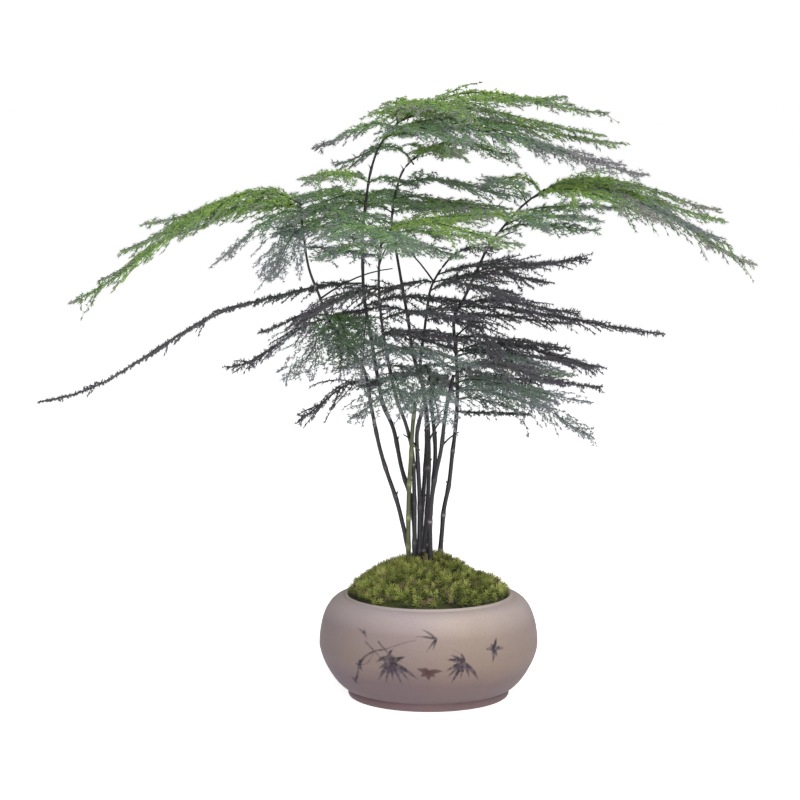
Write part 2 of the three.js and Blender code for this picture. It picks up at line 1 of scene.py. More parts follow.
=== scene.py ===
# %% [markdown]
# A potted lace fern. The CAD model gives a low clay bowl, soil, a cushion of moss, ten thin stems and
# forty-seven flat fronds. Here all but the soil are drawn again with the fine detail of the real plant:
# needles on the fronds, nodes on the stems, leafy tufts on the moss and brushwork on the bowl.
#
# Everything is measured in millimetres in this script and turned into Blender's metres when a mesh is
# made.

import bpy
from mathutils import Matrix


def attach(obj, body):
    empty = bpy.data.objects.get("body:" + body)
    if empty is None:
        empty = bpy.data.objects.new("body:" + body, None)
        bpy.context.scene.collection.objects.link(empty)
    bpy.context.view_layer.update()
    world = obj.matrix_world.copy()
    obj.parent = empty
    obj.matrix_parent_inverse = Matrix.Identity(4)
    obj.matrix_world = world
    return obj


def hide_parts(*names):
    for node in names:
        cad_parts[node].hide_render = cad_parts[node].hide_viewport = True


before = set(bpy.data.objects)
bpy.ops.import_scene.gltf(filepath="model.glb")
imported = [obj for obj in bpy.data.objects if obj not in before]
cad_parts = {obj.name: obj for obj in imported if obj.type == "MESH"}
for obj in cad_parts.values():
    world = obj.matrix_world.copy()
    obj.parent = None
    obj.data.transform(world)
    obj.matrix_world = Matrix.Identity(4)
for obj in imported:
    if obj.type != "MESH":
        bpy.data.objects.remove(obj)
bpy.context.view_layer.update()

# %% [markdown]
# No two branches of a plant are alike, yet the script has to grow the same plant on every run. So each
# chance decision is drawn from one random generator with a fixed seed, always in the same order.

# %% Libraries and the random generator
import math

import bpy
import numpy as np
from mathutils import Vector

TURN = 6.28  # a full turn in radians, near enough for a random one
random = np.random.default_rng(7)
print("Nodes in the frame:", len(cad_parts))

# %% [markdown]
# Every piece of this plant is a mesh of many small parts that look alike, such as tubes and needles. The
# quickest way to make them is to work out all the corners as one table of numbers and to hand the table
# to Blender at once. Each corner also gets a "tone" between 0 and 1, which the materials read to choose a
# shade.

# %% From tables of numbers to a mesh
MM_IN_A_METRE = 1000


class Parts:
    """Collects points, triangles, tones and the number of the material for one piece."""

    def __init__(self):
        self.points, self.triangles, self.tones, self.kinds, self.count = [], [], [], [], 0

    def add(self, points, triangles, tones, kind=0):
        self.points.append(points.reshape(-1, 3))
        self.triangles.append(triangles.reshape(-1, 3) + self.count)
        self.tones.append(np.broadcast_to(tones, points.shape[:-1]).reshape(-1))
        self.kinds.append(np.full(self.triangles[-1].shape[0], kind))
        self.count += self.points[-1].shape[0]


def piece(name, parts, materials, smooth=True, extra=None):
    """Turns collected parts into a Blender object that moves with the plant."""
    points = np.concatenate(parts.points) / MM_IN_A_METRE
    triangles = np.concatenate(parts.triangles)
    mesh = bpy.data.meshes.new(name)
    mesh.vertices.add(len(points))
    mesh.vertices.foreach_set("co", points.astype(np.float32).ravel())
    mesh.loops.add(triangles.size)
    mesh.loops.foreach_set("vertex_index", triangles.astype(np.int32).ravel())
    mesh.polygons.add(len(triangles))
    mesh.polygons.foreach_set("loop_start", np.arange(0, triangles.size, 3, dtype=np.int32))
    mesh.polygons.foreach_set("material_index", np.concatenate(parts.kinds).astype(np.int32))
    mesh.polygons.foreach_set("use_smooth", np.full(len(triangles), smooth))
    for key, values in {"tone": np.concatenate(parts.tones), **(extra or {})}.items():
        attribute = mesh.attributes.new(key, "FLOAT", "POINT")
        attribute.data.foreach_set("value", values.astype(np.float32))
    mesh.update(calc_edges=True)
    for material in materials:
        mesh.materials.append(material)
    made = bpy.data.objects.new(name, mesh)
    bpy.context.scene.collection.objects.link(made)
    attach(made, "root")
    return made


tile = Parts()
tile.add(np.eye(3), np.array([[0, 1, 2]]), 0.5)
print("Corners in one triangle:", tile.count)

# %% [markdown]
# Stems, ribs and twigs are all tubes that get thinner. A tube is a row of rings along a line. The
# function below makes many tubes of the same number of rings together, and closes each of them at both
# ends.

# %% Tubes
STEEP = 0.8


def unit(vectors):
    """The same directions, each one long."""
    return vectors / np.maximum(np.linalg.norm(vectors, axis=-1, keepdims=True), 1e-9)


def outwards(along, sides, flatness=1.0):
    """For each direction, as many directions square to it as there are sides, spread evenly round it."""
    reference = np.where(np.abs(along[..., 2:]) > STEEP, [1.0, 0.0, 0.0], [0.0, 0.0, 1.0])
    right = unit(np.cross(along, reference))
    front = np.cross(right, along)
    turn = np.arange(sides) * 2 * math.pi / sides
    cos, sin = np.cos(turn)[:, None], np.sin(turn)[:, None]
    return right[..., None, :] * cos + front[..., None, :] * sin * flatness


def tubes(lines, radii, sides):
    """lines is (tubes, rings, 3) and radii is (tubes, rings); gives points and triangles."""
    count, rings = radii.shape
    around = outwards(unit(np.gradient(lines, axis=1)), sides)
    points = lines[:, :, None] + around * radii[:, :, None, None]
    near = np.arange(sides)
    far = (near + 1) % sides
    ring = np.arange(rings - 1)[:, None] * sides
    walls = np.stack([near + ring, near + ring + sides, far + ring,
                      far + ring, near + ring + sides, far + ring + sides], -1).reshape(-1, 3)
    fan = np.arange(1, sides - 1)
    first = np.stack([fan * 0, fan, fan + 1], -1)
    last = np.stack([fan * 0, fan + 1, fan], -1) + (rings - 1) * sides
    one = np.concatenate([walls, first, last])
    return points.reshape(count, rings * sides, 3), one + np.arange(count)[:, None, None] * rings * sides


_, tube = tubes(np.array([[[0, 0, 0], [0, 0, 9.0]]]), np.ones((1, 2)), 6)
print("Triangles in a six-sided tube of two rings:", tube.shape[1])

# %% [markdown]
# A needle, a moss leaf and a dry scale are all slender spikes. Three sides and a base are enough for one,
# because each is less than a millimetre wide and there are about two hundred thousand of them.

# %% Needles
def needles(roots, tips, widths, flatness=1.0):
    """Slender three-sided spikes from roots to tips, (needles, 3) each; gives points and triangles."""
    around = outwards(unit(tips - roots), 3, flatness)
    base = roots[:, None] + around * widths[:, None, None] / 2
    points = np.concatenate([base, tips[:, None]], 1)
    one = np.array([[0, 3, 1], [1, 3, 2], [2, 3, 0], [0, 1, 2]])
    return points, one + np.arange(len(roots))[:, None, None] * 4


spike, _ = needles(np.zeros((1, 3)), np.array([[0, 0, 3.0]]), np.ones(1))
print("Corners in a needle:", spike.shape[1])

# %% [markdown]
# A real surface is never one flat colour. Each material mixes a few shades of the same colour, and what
# decides between them is a network of shader nodes. The helpers here add the few kinds of node that this
# plant needs.

# %% Helpers for shader nodes
def colour(red, green, blue):
    """A colour as a screen shows it, 0 to 255, turned into the linear values that Blender works in."""
    steps = [value / 255 for value in (red, green, blue)]
    return [s / 12.92 if s <= 0.04045 else ((s + 0.055) / 1.055) ** 2.4 for s in steps] + [1.0]


def plug(tree, socket, value):
    """Gives a socket its value, or links it when the value is another node's socket."""
    if isinstance(value, bpy.types.NodeSocket):
        tree.links.new(value, socket)
    else:
        socket.default_value = value


def node(tree, kind, **inputs):
    """A node with its inputs given by name."""
    made = tree.nodes.new(kind)
    for key, value in inputs.items():
        plug(tree, made.inputs[key], value)
    return made


def noise(tree, scale, detail=2.0):
    """A noise pattern that stays fixed to the object."""
    place = tree.nodes.new("ShaderNodeTexCoord").outputs["Object"]
    return node(tree, "ShaderNodeTexNoise", Vector=place, Scale=scale, Detail=detail).outputs["Fac"]


def stored(tree, name):
    """A number that the mesh stores at its corners."""
    made = tree.nodes.new("ShaderNodeAttribute")
    made.attribute_name = name
    return made.outputs["Fac"]


print("A screen's middle grey in linear light:", round(colour(128, 128, 128)[0], 3))

# %% [markdown]
# Noise and stored tones are plain numbers. Arithmetic nodes add and stretch them, a colour ramp turns them
# into shades, and a mix node lays one shade over another.

# %% Helpers that combine nodes
def arithmetic(tree, operation, *values):
    """One step of arithmetic on numbers or sockets."""
    made = tree.nodes.new("ShaderNodeMath")
    made.operation = operation
    for socket, value in zip(made.inputs, values):
        plug(tree, socket, value)
    return made.outputs[0]


def swing(tree, scale, detail, share):
    """Noise that swings round zero and is `share` wide."""
    return arithmetic(tree, "MULTIPLY_ADD", noise(tree, scale, detail), share, -share / 2)


def ramp(tree, factor, stops):
    """A colour ramp from {position: shade}. A shade of three numbers is a screen colour, of four linear."""
    made = node(tree, "ShaderNodeValToRGB", Fac=factor)
    elements = made.color_ramp.elements
    for index, (position, shade) in enumerate(sorted(stops.items())):
        element = elements[index] if index < 2 else elements.new(position)
        element.position = position
        element.color = shade if len(shade) == 4 else colour(*shade)
    return made.outputs["Color"]


def mix(tree, blend, factor, first, second):
    """Two colours mixed. The factor is a number or a socket."""
    made = tree.nodes.new("ShaderNodeMix")
    made.data_type, made.blend_type = "RGBA", blend
    for number, value in {0: factor, 6: first, 7: second}.items():
        plug(tree, made.inputs[number], value)
    return made.outputs[2]


print("Noise with a share of 0.5 shifts a tone by up to", 0.5 / 2, "either way")

# %% [markdown]
# Bark, moss and needles differ in colour but are shaded alike: the tone stored in the mesh picks a shade,
# large patches of noise shift it, and a fine grain breaks it up. One function makes all of these
# materials. Roughness and gloss are the same all over, so they are set on the shader itself.

# %% Mottled materials
GRAIN_SCALE, GRAIN_SHARE = 1500, 0.5


def new_material(name, roughness, specular=0.5):
    """A material with nodes; gives the material, its node tree and its shader."""
    material = bpy.data.materials.new(name)
    material.use_nodes = True
    surface = material.node_tree.nodes["Principled BSDF"]
    surface.inputs["Roughness"].default_value = roughness
    surface.inputs["Specular IOR Level"].default_value = specular
    return material, material.node_tree, surface


def mottled(name, stops, patch_scale, patch_share, roughness, specular=0.3):
    """A material whose shade follows the mesh's tone, shifted by large patches and by a fine grain."""
    material, tree, surface = new_material(name, roughness, specular)
    patches = swing(tree, patch_scale, 3.0, patch_share)
    grain = swing(tree, GRAIN_SCALE, 2.0, GRAIN_SHARE)
    tone = arithmetic(tree, "ADD", arithmetic(tree, "ADD", stored(tree, "tone"), patches), grain)
    plug(tree, surface.inputs["Base Color"], ramp(tree, tone, stops))
    return material


print("Width of one grain in millimetres, about:", round(MM_IN_A_METRE / GRAIN_SCALE, 1))

# %% [markdown]
# The photograph was taken from a little above the plant, about a metre and a half away, with a long lens.
# The camera stands there and looks slightly down. A long lens keeps the bowl's foot almost straight.

# %% Camera
CAMERA_PLACE = (-0.017, -1.575, 0.380)
CAMERA_DISTANCE, CAMERA_DROP = -CAMERA_PLACE[1], 0.203
SENSOR, FARTHEST = 36, 40
VIEW_WIDTH = 0.59 * 0.8  # metres: 800 pixels of 0.59 mm each, at the plant
camera = bpy.data.objects.new("camera", bpy.data.cameras.new("camera"))
bpy.context.scene.collection.objects.link(camera)
camera.location = CAMERA_PLACE
camera.rotation_euler = (math.pi / 2 - math.atan2(CAMERA_DROP, CAMERA_DISTANCE), 0, 0)
camera.data.sensor_width = SENSOR
camera.data.lens = SENSOR * math.hypot(CAMERA_DISTANCE, CAMERA_DROP) / VIEW_WIDTH
camera.data.clip_end = FARTHEST
bpy.context.scene.camera = camera
print("Lens in millimetres:", round(camera.data.lens, 1))

# %% [markdown]
# The bowl's outline, its brush strokes and the stems are all smooth lines through a few chosen points. A
# Catmull-Rom curve passes through every point it is given, which a Bezier curve does not, so the points
# can be measured on the real object and used as they are.

# %% Smooth lines
def walked_along(line):
    """How far each point of a line is from its start."""
    return np.concatenate([[0], np.cumsum(np.linalg.norm(np.diff(line, axis=0), axis=1))])


def points_at(line, distances):
    """The points of a line at some distances from its start."""
    walked = walked_along(line)
    return np.stack([np.interp(distances, walked, column) for column in line.T], 1)


def spaced(line, step):
    """The same line with points at equal distances."""
    length = walked_along(line)[-1]
    return points_at(line, np.linspace(0, length, max(2, round(length / step) + 1)))


def smooth_line(points, steps=12):
    """A smooth line through the points (a centripetal Catmull-Rom curve)."""
    points = np.concatenate([[2 * points[0] - points[1]], points, [2 * points[-1] - points[-2]]])
    share = np.arange(steps)[:, None] / steps
    pieces = []
    for a, b, c, d in zip(points, points[1:], points[2:], points[3:]):
        before, here, after = [max(np.linalg.norm(q - p), 1e-6) ** 0.5 for p, q in ((a, b), (b, c), (c, d))]
        leave = here * ((b - a) / before - (c - a) / (before + here) + (c - b) / here)
        arrive = here * ((c - b) / here - (d - b) / (here + after) + (d - c) / after)
        square, cube = share ** 2, share ** 3
        pieces.append(b + share * leave + square * (3 * c - 3 * b - 2 * leave - arrive)
                      + cube * (2 * b - 2 * c + leave + arrive))
    return np.concatenate([*pieces, points[-2:-1]])


arc = smooth_line(np.array([[0.0, 0.0], [10.0, 4.0], [20.0, 0.0]]))
print("Length of a low arc over 20 mm:", round(float(walked_along(arc)[-1]), 2))

# %% [markdown]
# The bowl is turned on a wheel, so its shape is one outline spun round. The outline is a foot, a small
# notch, a round belly that is widest a little below the middle, and a thin lip. The belly is drawn with
# two curves called superellipses, because they are fuller than a circle: one below the widest ring and
# one above it.

# %% Outline of the bowl
BELLY_RADIUS, BELLY_HEIGHT = 65, 31
WAIST_RADIUS, WAIST_HEIGHT = 49, 5.4
SHOULDER_RADIUS, SHOULDER_HEIGHT = 50, 60.2
MOUTH_RADIUS, LIP_RISE = 47.8, 1.2
LOWER_BULGE, UPPER_BULGE = 1.42, 2.16
PAINTED_HEIGHTS = [13, 54]
COARSE_STEP, FINE_STEP, TOP_RINGS = 1.3, 0.55, 8
# Radius and height of each point, for the foot and for the inside from the lip down to the floor.
FOOT_LINE = np.array([[0.2, 0.5], [20, 0.5], [41, 0.5], [42.5, 0], [46.0, 0], [46.9, 0.15], [47.6, 0.6],
                      [48, 1.4], [48, 2.8], [48, 4.1], [47.7, 4.6], [47.7, 5.0]])
INSIDE_LINE = np.array([[47.8, 58], [48, 56], [52, 53], [57, 45], [59.5, 31], [56, 19], [47, 9.5], [40, 7],
                        [0.2, 7]])


def belly(steps, radius, height, exponent):
    """A superellipse from the ring at this radius and height (step 0) to the widest ring (step 1)."""
    angle = steps * math.pi / 2
    out, along = np.sin(angle) ** (2 / exponent), np.cos(angle) ** (2 / exponent)
    return np.stack([radius + (BELLY_RADIUS - radius) * out,
                     BELLY_HEIGHT + (height - BELLY_HEIGHT) * along], 1)


steps = np.linspace(0, 1, 200)
wall = np.concatenate([belly(steps, WAIST_RADIUS, WAIST_HEIGHT, LOWER_BULGE),
                       belly(steps[::-1], SHOULDER_RADIUS, SHOULDER_HEIGHT, UPPER_BULGE)[1:]])
walked = walked_along(wall)
paint_from, paint_to = np.interp(PAINTED_HEIGHTS, wall[:, 1], walked)
wall_line = points_at(wall, np.concatenate([
    np.arange(0, paint_from, COARSE_STEP), np.arange(paint_from, paint_to, FINE_STEP),
    np.linspace(paint_to, walked[-1], TOP_RINGS)]))
lip_turn = np.linspace(0, math.pi, 9)[1:]
lip_middle, lip_half = (SHOULDER_RADIUS + MOUTH_RADIUS) / 2, (SHOULDER_RADIUS - MOUTH_RADIUS) / 2
lip_line = np.stack([lip_middle + lip_half * np.cos(lip_turn),
                     SHOULDER_HEIGHT + LIP_RISE * np.sin(lip_turn)], 1)
outline = np.concatenate([FOOT_LINE, wall_line, lip_line, INSIDE_LINE])
print("Rings in the bowl's outline:", len(outline))

# %% [markdown]
# To spin the outline, each of its points is repeated at many turns round the axis. The columns stand much
# closer on the front, because the brush strokes painted there need corners to hold them. The same two
# helpers for rings serve the moss later.

# %% The bowl's mesh
FINE_SIDE, FINE_COLUMNS, COARSE_COLUMNS = math.radians(49), 188, 46


def skin(rings):
    """Triangles between neighbouring rings of corner numbers, (rings, corners round each)."""
    turned = np.roll(rings, -1, 1)
    quads = np.stack([rings[:-1], turned[:-1], turned[1:], rings[1:]], -1).reshape(-1, 4)
    return np.concatenate([quads[:, [0, 1, 2]], quads[:, [0, 2, 3]]])


def cap(ring, facing_up):
    """Triangles that close a ring."""
    fan = np.stack([np.full(len(ring) - 2, ring[0]), ring[1:-1], ring[2:]], -1)
    return fan if facing_up else fan[:, [0, 2, 1]]


fine_turns = np.linspace(-FINE_SIDE, FINE_SIDE, FINE_COLUMNS)
coarse_turns = np.linspace(FINE_SIDE, 2 * math.pi - FINE_SIDE, COARSE_COLUMNS + 2)[1:-1]
turns = np.concatenate([fine_turns, coarse_turns])
columns, rows = len(turns), len(outline)
radius, height = outline.T
bowl_points = np.stack([np.sin(turns)[:, None] * radius, -np.cos(turns)[:, None] * radius,
                        np.broadcast_to(height, (columns, rows))], -1)
rings = np.arange(columns * rows).reshape(columns, rows).T
bowl_triangles = np.concatenate([skin(rings), cap(rings[0], False), cap(rings[-1], True)])
print("Triangles in the bowl:", len(bowl_triangles))

# %% [markdown]
# The bowl carries a sprig of bamboo in ink, a common subject of brush painting. It is drawn here as a
# design of its own: stalks as lines through a few points, and leaves as fans that spring from one heart.
# Places are given in millimetres on the unrolled front of the bowl, across from its middle and up from
# the table.

# %% Brush strokes
# Each stalk: its points, half width and strength.
STALKS = [
    ([(-52, 17), (-47, 23), (-44, 29), (-39, 35), (-33, 38.5), (-27, 40)], 0.9, 1.0),
    ([(-27, 40), (-18, 43.5), (-8, 46.5)], 0.32, 0.8),
    ([(-40, 43), (-34, 39), (-28, 34)], 0.45, 0.9),
    ([(-31, 44), (-26, 39.5), (-19, 35)], 0.5, 0.9),
    ([(-44, 29), (-38, 31), (-34, 37)], 0.4, 0.8),
    ([(20, 34), (18, 38), (14, 41)], 0.3, 0.5),
]
# Each fan of leaves: its heart, the angle and length of each leaf, half width and strength.
FANS = [
    ((-22, 33), [(-33, 19), (-48, 15), (-70, 15), (-92, 12), (-112, 15), (-130, 17), (-152, 10), (172, 9),
                 (25, 9)], 1.3, 1.0),
    ((-25, 36), [(-15, 10), (-50, 9), (-100, 8), (-150, 9), (55, 6)], 1.0, 0.95),
    ((20, 33), [(-48, 17), (-66, 11), (-98, 10), (-118, 15), (-138, 13), (-156, 12), (168, 11), (148, 9),
                (105, 6)], 1.2, 1.0),
    ((4, 47), [(150, 11), (176, 14), (-128, 10), (-108, 7)], 0.65, 0.85),
    ((40, 39), [(66, 7), (176, 6), (-98, 8), (-6, 8), (-68, 5), (128, 4)], 1.15, 1.0),
    ((-41, 47), [(158, 8), (-60, 3), (120, 4)], 0.55, 0.8),
    ((-44, 29), [(75, 4), (-70, 4), (170, 3)], 1.1, 0.9),
    ((-52, 18), [(20, 3), (-60, 3), (130, 3)], 0.9, 0.9),
]
RED_MARKS = [((-1, 27.5), [(6, 9), (160, 7), (-84, 5), (-150, 5), (-30, 5), (130, 4)], 1.5, 1.0)]
print("Leaves in ink:", sum(len(leaves) for _, leaves, _, _ in FANS))

# %% [markdown]
# A brush stroke is a line with a changing width: a leaf starts as a point, swells and runs out in a long
# tip, and the brush gets drier on the way. For every corner on the painted side the script measures how
# far it is from each stroke, and the mesh stores how much ink lies there. No image is needed for that.

# %% Ink on the bowl
STROKE_STEP, STROKE_EDGE, DRY_END, LEAF_SAG = 0.5, 0.5, 0.35, 0.05


def fan_strokes(fans):
    """The strokes of some fans of leaves. Every leaf bends a little downwards."""
    strokes = []
    for (u, z), leaves, half_width, strength in fans:
        for angle, length in leaves:
            across, up = length * math.cos(math.radians(angle)), length * math.sin(math.radians(angle))
            line = [(u, z), (u + 0.5 * across, z + 0.5 * up + LEAF_SAG * length), (u + across, z + up)]
            strokes.append((line, half_width, strength))
    return strokes


def ink_at(places, strokes, pointed):
    """Strength of ink at each place from a list of strokes, between 0 and 1."""
    total = np.zeros(len(places))
    for points, half_width, strength in strokes:
        line = spaced(smooth_line(np.array(points, float)), STROKE_STEP)
        share = np.linspace(0, 1, len(line))
        swell = np.sin(math.pi * (0.08 + 0.92 * share) ** 0.6) ** 0.9 if pointed else 1 - 0.4 * share
        near = np.linalg.norm(places[:, None] - line[None], axis=2) - half_width * swell[None]
        along = share[near.argmin(1)]
        edge = np.clip(0.5 - near.min(1) / STROKE_EDGE, 0, 1)
        total = np.maximum(total, edge * strength * (1 - DRY_END * along))
    return total


painted = np.zeros((columns, rows), bool)
painted[:FINE_COLUMNS, len(FOOT_LINE):len(FOOT_LINE) + len(wall_line)] = True
unrolled = np.broadcast_to(turns[:, None] * BELLY_RADIUS, (columns, rows))
places = np.stack([unrolled[painted], np.broadcast_to(height, (columns, rows))[painted]], 1)
ink, rust = np.zeros((columns, rows)), np.zeros((columns, rows))
ink[painted] = np.maximum(ink_at(places, STALKS, False), ink_at(places, fan_strokes(FANS), True))
rust[painted] = ink_at(places, fan_strokes(RED_MARKS), True)
print("Painted corners:", int((ink > 0.1).sum()))

# %% [markdown]
# Unglazed stoneware is matte and finely grained. Its shade follows the height: a painted highlight makes it
# a pale warm beige at the shoulder, and painted shade makes it a darker, greyer mauve low on the belly. It
# has small darker specks, and a fine bump makes the light break up on it.
# The ink lies over the clay, and a coarser noise breaks its strokes as the bristles of a brush do.

# %% Clay
SHADING_HEIGHT = 62
INK_GAIN, INK_LOSS = 2.4, -0.2
clay, tree, surface = new_material("clay", 0.62, 0.25)
# Painted shade and highlight: the ramp by height darkens the clay low on the belly and lightens it at the
# shoulder.
body = ramp(tree, arithmetic(tree, "ADD", stored(tree, "tone"), swing(tree, 14, 3.0, 0.24)), {
    0.0: (111, 93, 99), 0.07: (105, 88, 94), 0.14: (93, 80, 85), 0.3: (97, 83, 87),
    0.5: (120, 107, 103), 0.75: (134, 122, 118), 0.92: (166, 156, 152), 1.0: (170, 160, 156)})
specks = ramp(tree, noise(tree, 1300), {0.3: (241, 238, 236), 0.45: (255, 255, 255)})
warmth = ramp(tree, noise(tree, 11), {0.35: (246, 243, 254), 0.65: (255, 250, 239)})
grained = mix(tree, "MULTIPLY", 1.0, mix(tree, "MULTIPLY", 1.0, body, specks), warmth)
bristles = arithmetic(tree, "MULTIPLY_ADD", noise(tree, 420, 3.0), INK_GAIN, INK_LOSS)
brushed = arithmetic(tree, "MULTIPLY", stored(tree, "ink"), bristles)
ink_shade = ramp(tree, noise(tree, 120), {0.35: (38, 31, 42), 0.55: (54, 44, 54), 0.75: (46, 48, 68)})
rust_shade = ramp(tree, noise(tree, 200), {0.3: (44, 26, 30), 0.7: (66, 40, 40)})
inked = mix(tree, "MIX", brushed, grained, ink_shade)
plug(tree, surface.inputs["Base Color"], mix(tree, "MIX", stored(tree, "rust"), inked, rust_shade))
bump = node(tree, "ShaderNodeBump", Height=noise(tree, 1400, 3.0), Strength=0.22, Distance=0.0004)
plug(tree, surface.inputs["Normal"], bump.outputs["Normal"])

bowl_parts = Parts()
# The bowl's tone is its height, which the clay turns into painted shade low down and a painted highlight at
# the shoulder.
bowl_parts.add(bowl_points, bowl_triangles, np.broadcast_to(height / SHADING_HEIGHT, (columns, rows)))
bowl = piece("bowl", bowl_parts, [clay], extra={"ink": ink.ravel(), "rust": rust.ravel()})
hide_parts("pot")
print("Nodes in the clay's material:", len(tree.nodes))

# %% [markdown]
# The soil is hidden under the moss, so the CAD solid stays and only gets a dark crumbly material.

# %% Soil
earth, tree, surface = new_material("earth", 0.95)
crumbs = ramp(tree, noise(tree, 500, 4.0), {0.3: (30, 22, 16), 0.7: (74, 56, 40)})
plug(tree, surface.inputs["Base Color"], crumbs)
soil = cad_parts["soil"]
soil.data.materials.clear()
soil.data.materials.append(earth)
print("Triangles in the soil:", len(soil.data.polygons))

# %% [markdown]
# Cushion moss is a crowd of tiny upright shoots that grow into a low hill with swellings and hollows. The
# hill is made first, as a base that closes the gaps between the shoots, and its dark colour is painted
# shade in those gaps. Its rings stand closer at the edge, where the cushion is steep, and a skirt goes
# down inside the bowl's mouth.

# %% The moss's base
MOSS_EDGE, MOSS_EDGE_HEIGHT, MOSS_TOP, MOSS_ROUNDNESS = 47.5, 60.8, 82.6, 0.9
MOSS_RINGS, MOSS_COLUMNS = 26, 72
BASE_SUNK, SKIRT_HEIGHT, BASE_SHADE_TONE, RING_SPACING = 1.2, 56.5, 0.12, 0.85
DIP_DEPTH, DIP_AT, DIP_WIDTH = 4.5, 27, 11


def moss_surface(x, y):
    """Height of the cushion with its low swellings and a dip on the right."""
    radii = np.hypot(x, y)
    share = np.clip(radii / MOSS_EDGE, 0, 1)
    hill = MOSS_EDGE_HEIGHT + (MOSS_TOP - MOSS_EDGE_HEIGHT) * (1 - share ** 2) ** MOSS_ROUNDNESS
    swellings = 1.1 * np.sin(x / 7.1 + 0.6) * np.cos(y / 6.3 - 0.4) + 0.7 * np.sin(x / 3.3 + y / 4.1)
    dip = DIP_DEPTH * np.exp(-((x - DIP_AT) / DIP_WIDTH) ** 2) * (1 - (radii / (MOSS_EDGE + 1)) ** 4)
    return hill + swellings * (1 - radii / MOSS_EDGE) - dip


base_radii = MOSS_EDGE * (1 - np.linspace(0, 1, MOSS_RINGS)) ** RING_SPACING
base_turns = np.arange(MOSS_COLUMNS) * 2 * math.pi / MOSS_COLUMNS
x, y = base_radii[:, None] * np.cos(base_turns), base_radii[:, None] * np.sin(base_turns)
skirt = np.stack([x[0], y[0], np.full(MOSS_COLUMNS, SKIRT_HEIGHT)], 1)
base_points = np.concatenate([[skirt], np.stack([x, y, moss_surface(x, y) - BASE_SUNK], 2)])
rings = np.arange((MOSS_RINGS + 1) * MOSS_COLUMNS).reshape(-1, MOSS_COLUMNS)
moss_parts = Parts()
# The base's dark tone is painted shade in the gaps between the shoots.
moss_parts.add(base_points, np.concatenate([skin(rings), cap(rings[0], False)]), BASE_SHADE_TONE)
print("Height of the moss above the table:", round(float(base_points[..., 2].max()), 1))

# %% [markdown]
# Each shoot ends in a tuft of narrow leaves, and the tufts are what the eye sees. Several hundred of them
# are spread with the golden angle, the way seeds sit in a sunflower, which leaves no rows and no bare
# spots. Every tuft stands square to the hill and leans outwards near its edge. Its lowest leaves lie open
# and the top ones are nearly upright. A few shoots have withered and get a brown material.

# %% Tufts of moss
TUFTS, TUFT_LEAVES, TUFT_MARGIN = 720, 16, 1.8
TUFT_SCATTER, TUFT_SUNK, TUFT_LEAN, TUFT_TILT = 0.5, 1.0, 0.75, 0.18
TUFT_SIZES, FRESHNESS, WITHERED_SHARE = (0.75, 1.25), (0.45, 0.28), 0.07
LEAF_LENGTH, LEAF_SIZES, LEAF_WIDTH = 3.4, (0.8, 1.2), 0.6
LEAF_TURN, LEAF_OPEN, LEAF_SCATTER, LEAF_RISE = 2.4, [1.25, 0.3], 0.12, [0.2, 1.7]
k = np.arange(TUFTS)
tuft_radius = (MOSS_EDGE - TUFT_MARGIN) * np.sqrt((k + 0.5) / TUFTS)
tuft_turn = k * math.pi * (3 - math.sqrt(5))
tuft_x = tuft_radius * np.cos(tuft_turn) + random.normal(0, TUFT_SCATTER, TUFTS)
tuft_y = tuft_radius * np.sin(tuft_turn) + random.normal(0, TUFT_SCATTER, TUFTS)
tuft_z = moss_surface(tuft_x, tuft_y) - TUFT_SUNK
lean = np.stack([tuft_x, tuft_y, np.zeros(TUFTS)], 1) / MOSS_EDGE * TUFT_LEAN
axis = unit(lean + [0, 0, 1] + random.normal(0, TUFT_TILT, (TUFTS, 3)))
side = unit(np.cross(axis, [0.3, 0.9, 0.1]))
other = np.cross(axis, side)
size = random.uniform(*TUFT_SIZES, TUFTS)
fresh = np.clip(random.normal(*FRESHNESS, TUFTS), 0, 1)
j, ends = np.arange(TUFT_LEAVES), [0, TUFT_LEAVES - 1]
leaf_turn = j * LEAF_TURN + random.uniform(0, TURN, (TUFTS, 1))
leaf_open = np.interp(j, ends, LEAF_OPEN) + random.normal(0, LEAF_SCATTER, (TUFTS, TUFT_LEAVES))
outward = side[:, None] * np.cos(leaf_turn)[..., None] + other[:, None] * np.sin(leaf_turn)[..., None]
leaf_way = outward * np.sin(leaf_open)[..., None] + axis[:, None] * np.cos(leaf_open)[..., None]
rise = (np.interp(j, ends, LEAF_RISE) * size[:, None])[..., None]
leaf_root = np.stack([tuft_x, tuft_y, tuft_z], 1)[:, None] + axis[:, None] * rise
leaf_size = LEAF_LENGTH * size[:, None] * random.uniform(*LEAF_SIZES, leaf_open.shape)
leaf_tip = leaf_root + leaf_way * leaf_size[..., None]
withered = random.random(TUFTS) < WITHERED_SHARE
print("Tufts:", TUFTS, "of which withered:", int(withered.sum()))

# %% [markdown]
# A moss leaf is drawn darkest where it leaves the shoot, as painted shade in the heart of the tuft, and
# palest at its tip, as a painted highlight, so the tone rises along each leaf. The leaves keep their hard
# edges: smooth shading would blur something so small.

